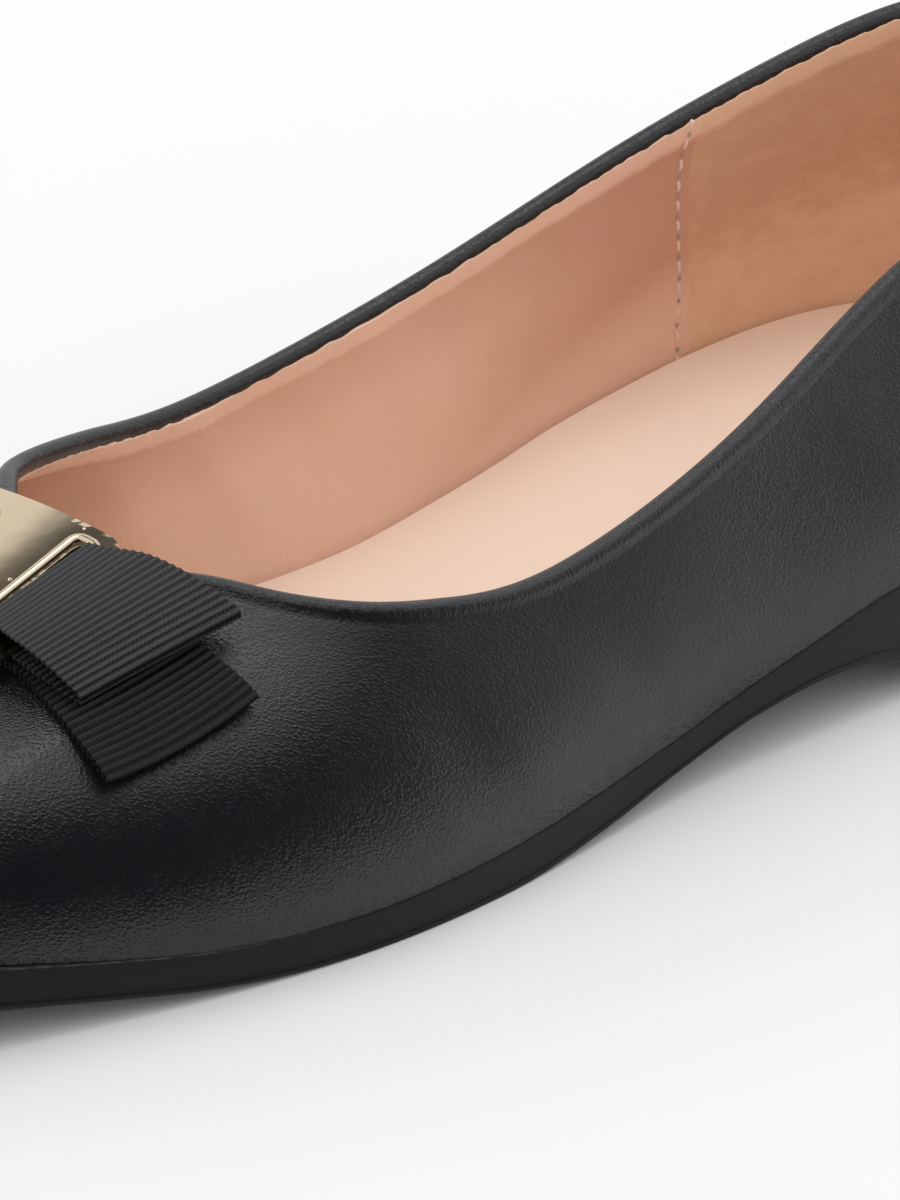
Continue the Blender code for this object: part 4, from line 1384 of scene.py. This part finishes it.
class FLAT_OT_ribbons(bpy.types.Operator):
    """Build the two ribbed ribbons, each folded into a pair of flat loops"""
    bl_idname = "flat.ribbons"
    bl_label = "Ribbon loops"

    def execute(self, context):
        sizes = context.scene.flat_sizes
        shade = context.scene.flat_colours.ribbon
        bow = Bow()
        lower, cut = make_ribbon(
            "lower_ribbon", bow, lower_path(), LOWER_REACH, LOWER_SWEEP, LOWER_SKEW,
            lambda out, side, level: bow.bed(out, side) + level, sizes,
        )
        # the lower ribbon is a darker copy of the same ribbon: painted shade where the upper ribbon hangs
        # over it
        finish = ribbon_finish(sizes, "shaded_grosgrain", shaded(shade, 0.5), 0.15)
        add_piece(lower, finish, "black_grosgrain", "bow_lower_ribbon")

        def height(out, side, level):
            return bow.seat + level - LOOP_TWIST * side * (abs(out) / UPPER_REACH) ** 2

        upper, cut = make_ribbon(
            "upper_ribbon", bow, upper_path(), UPPER_REACH, UPPER_SWEEP, UPPER_SKEW, height, sizes
        )
        finish = ribbon_finish(sizes, "black_grosgrain", shade, 0.45)
        add_piece(upper, finish, "black_grosgrain", "bow_upper_ribbon")
        return {"FINISHED"}


def lower_path():
    """Two layers on the vamp, folded at each end."""
    out = LOWER_ROWS * LOWER_REACH
    under = np.column_stack([out, np.full(len(out), layer_height(0))])
    over = np.column_stack([out, np.full(len(out), layer_height(1))])
    under[-1, 1] -= FOLD_SWELL * RIBBON_THICKNESS / 2
    over[-1, 1] += FOLD_SWELL * RIBBON_THICKNESS
    tip = np.array([[LOWER_REACH, (under[-1, 1] + over[-1, 1]) / 2]])
    return through(mirrored(np.concatenate([under, tip, over[::-1]])), LOOP_POINTS)


def upper_path():
    """One layer under the plate, the loops' under layers, and their tops through the slots."""
    under_loop = layer_height(2)
    under_plate = layer_height(3)
    loop_out = UPPER_PATH["out"] * UPPER_REACH
    slot_out = SLOT_PLACE + SLOT_PATH["along"] * SLOT_WIDTH
    half = np.concatenate([
        [[MIDDLE_ROW * UPPER_REACH, under_loop]],
        np.column_stack([loop_out, under_loop + UPPER_PATH["up"] * LOOP_RISE]),
        np.column_stack([slot_out, under_loop + SLOT_PATH["up"] * LOOP_RISE]),
        [[SLOT_PLACE - SLOT_WIDTH, under_plate], [MIDDLE_ROW * UPPER_REACH, under_plate]],
    ])
    return through(mirrored(half), LOOP_POINTS)


def rounded_rectangle(count, half_length, half_depth, corner):
    """Points evenly spaced round a rounded rectangle, from the middle of one side."""
    straight_x = 2 * (half_length - corner)
    straight_y = 2 * (half_depth - corner)
    arc = corner * math.pi / 2
    legs = [straight_y / 2, arc, straight_x, arc, straight_y, arc, straight_x, arc, straight_y / 2]
    points = []
    for gone in np.arange(count) / count * running(legs)[-1]:
        position = np.array([half_length, 0.0])
        heading = math.pi / 2
        for number, leg in enumerate(legs):
            step = min(leg, gone)
            if number % 2:
                centre = position + corner * np.array([-math.sin(heading), math.cos(heading)])
                heading += step / corner
                position = centre + corner * np.array([math.sin(heading), -math.cos(heading)])
            else:
                position = position + step * np.array([math.cos(heading), math.sin(heading)])
            gone -= step
            if gone <= 0:
                break
        points.append(position)
    return np.array(points)


class FLAT_OT_plate(bpy.types.Operator):
    """Build the domed metal plate, its slots and their raised rims"""
    bl_idname = "flat.plate"
    bl_label = "Metal plate"

    def execute(self, context):
        sizes = context.scene.flat_sizes
        bow = Bow()
        metal = metal_finish(context.scene.flat_colours)
        under = bow.seat + layer_height(4) + PLATE_LIFT * PLATE_DOME
        plate = make_plate(bow, under)
        add_piece(plate, metal, "champagne_metal", "bow_plate")
        for side, name in ((1, "outer_slot_rim"), (-1, "inner_slot_rim")):
            rim = make_slot_rim(name, bow, side, under, sizes)
            add_piece(rim, metal, "champagne_metal")
        return {"FINISHED"}


def dome(out):
    return PLATE_DOME * (out / (PLATE_LENGTH / 2)) ** 2


def make_plate(bow, under):
    """A rounded rectangle, domed across the shoe, with two slots cut and its edges softened."""
    edge = rounded_rectangle(PLATE_POINTS, PLATE_LENGTH / 2, PLATE_DEPTH / 2, PLATE_CORNER)
    shares = np.linspace(0, 1, PLATE_RINGS + 1)[1:]
    rings = np.array([edge * share for share in shares])
    flat = np.vstack([[[0.0, 0.0]], rings.reshape(-1, 2)])
    faces = [(0, 1 + i, 1 + (i + 1) % PLATE_POINTS) for i in range(PLATE_POINTS)]
    faces += grid_faces(PLATE_RINGS, PLATE_POINTS, False, True, 1)
    points = bow.place(flat[:, 0], flat[:, 1], under - dome(flat[:, 0]))
    plate = make_mesh("gold_plate", points, [face[::-1] for face in faces], 30)
    thicken = plate.modifiers.new("thickness", "SOLIDIFY")
    thicken.thickness = PLATE_THICKNESS
    thicken.offset = -1
    for side in (-1, 1):
        cut = plate.modifiers.new("slot", "BOOLEAN")
        cut.object = slot_cutter(bow, side, under)
        cut.solver = "EXACT"
    soften = plate.modifiers.new("softened edges", "BEVEL")
    soften.width = PLATE_ROUND
    soften.segments = 3
    soften.limit_method = "ANGLE"
    soften.angle_limit = math.radians(40)
    cutters = [modifier.object for modifier in plate.modifiers if modifier.type == "BOOLEAN"]
    apply_modifiers(plate)
    for cutter in cutters:
        bpy.data.objects.remove(cutter)
    plate.data.shade_smooth()
    plate.data.set_sharp_from_angle(angle=math.radians(30))
    return plate


def apply_modifiers(piece):
    """Replaces the piece's mesh with the one that its modifiers make."""
    graph = bpy.context.evaluated_depsgraph_get()
    made = bpy.data.meshes.new_from_object(piece.evaluated_get(graph))
    piece.modifiers.clear()
    piece.data = made


def slot_cutter(bow, side, under):
    """A prism with rounded corners through the plate."""
    count = SLOT_POINTS
    edge = rounded_rectangle(count, SLOT_WIDTH / 2, SLOT_LENGTH / 2, SLOT_ROUND * SLOT_WIDTH)
    out = side * SLOT_PLACE + edge[:, 0]
    low = bow.place(out, edge[:, 1], np.full(count, under - 3 * PLATE_THICKNESS))
    high = bow.place(out, edge[:, 1], np.full(count, under + 3 * PLATE_THICKNESS))
    faces = grid_faces(2, count, False, True)
    faces += [tuple(range(count - 1, -1, -1)), tuple(range(count, 2 * count))]
    cutter = make_mesh(f"slot_cutter_{side}", np.vstack([low, high]), faces)
    cutter.hide_render = True
    return cutter


def make_slot_rim(name, bow, side, under, sizes):
    """A rounded bead that follows the slot's edge on the plate's face."""
    count = RIM_LENGTH_POINTS
    ring = RIM_ROUND_POINTS
    outside = 0.25 * sizes.slot_rim
    edge = rounded_rectangle(
        count, SLOT_WIDTH / 2 + outside, SLOT_LENGTH / 2 + outside, SLOT_ROUND * SLOT_WIDTH + outside
    )
    outward = right_of(np.roll(edge, -1, axis=0) - np.roll(edge, 1, axis=0))
    rings = []
    for turn in np.arange(ring) / ring * 2 * math.pi:
        flat = edge + outward * (math.cos(turn) * sizes.slot_rim / 2)
        out = side * SLOT_PLACE + flat[:, 0]
        top = under + PLATE_THICKNESS - dome(out)
        rings.append(bow.place(out, flat[:, 1], top + math.sin(turn) * sizes.slot_rim * 0.4))
    faces = grid_faces(ring, count, True, True)
    return make_mesh(name, np.concatenate(rings), faces, 60)


# The panel

OPERATORS = (
    FLAT_OT_stage,
    FLAT_OT_upper,
    FLAT_OT_linings,
    FLAT_OT_sole,
    FLAT_OT_sock,
    FLAT_OT_ribbons,
    FLAT_OT_plate,
)


class FLAT_PT_panel(bpy.types.Panel):
    """Sizes, colours and pieces of the ballet flat"""
    bl_idname = "FLAT_PT_panel"
    bl_label = "Ballet Flat"
    bl_space_type = "VIEW_3D"
    bl_region_type = "UI"
    bl_category = "Ballet Flat"

    def draw(self, context):
        for group in (context.scene.flat_sizes, context.scene.flat_colours):
            for name in group.__annotations__:
                self.layout.prop(group, name)
        for operator in OPERATORS:
            self.layout.operator(operator.bl_idname)


def register():
    for one in (FlatSizes, FlatColours, *OPERATORS, FLAT_PT_panel):
        bpy.utils.register_class(one)
    bpy.types.Scene.flat_sizes = bpy.props.PointerProperty(type=FlatSizes)
    bpy.types.Scene.flat_colours = bpy.props.PointerProperty(type=FlatColours)


def unregister():
    del bpy.types.Scene.flat_colours
    del bpy.types.Scene.flat_sizes
    for one in (FLAT_PT_panel, *reversed(OPERATORS), FlatColours, FlatSizes):
        bpy.utils.unregister_class(one)


def main():
    register()
    bpy.ops.flat.stage()
    bpy.ops.flat.upper()
    bpy.ops.flat.linings()
    bpy.ops.flat.sole()
    bpy.ops.flat.sock()
    bpy.ops.flat.ribbons()
    bpy.ops.flat.plate()


if __name__ == "__main__":
    main()
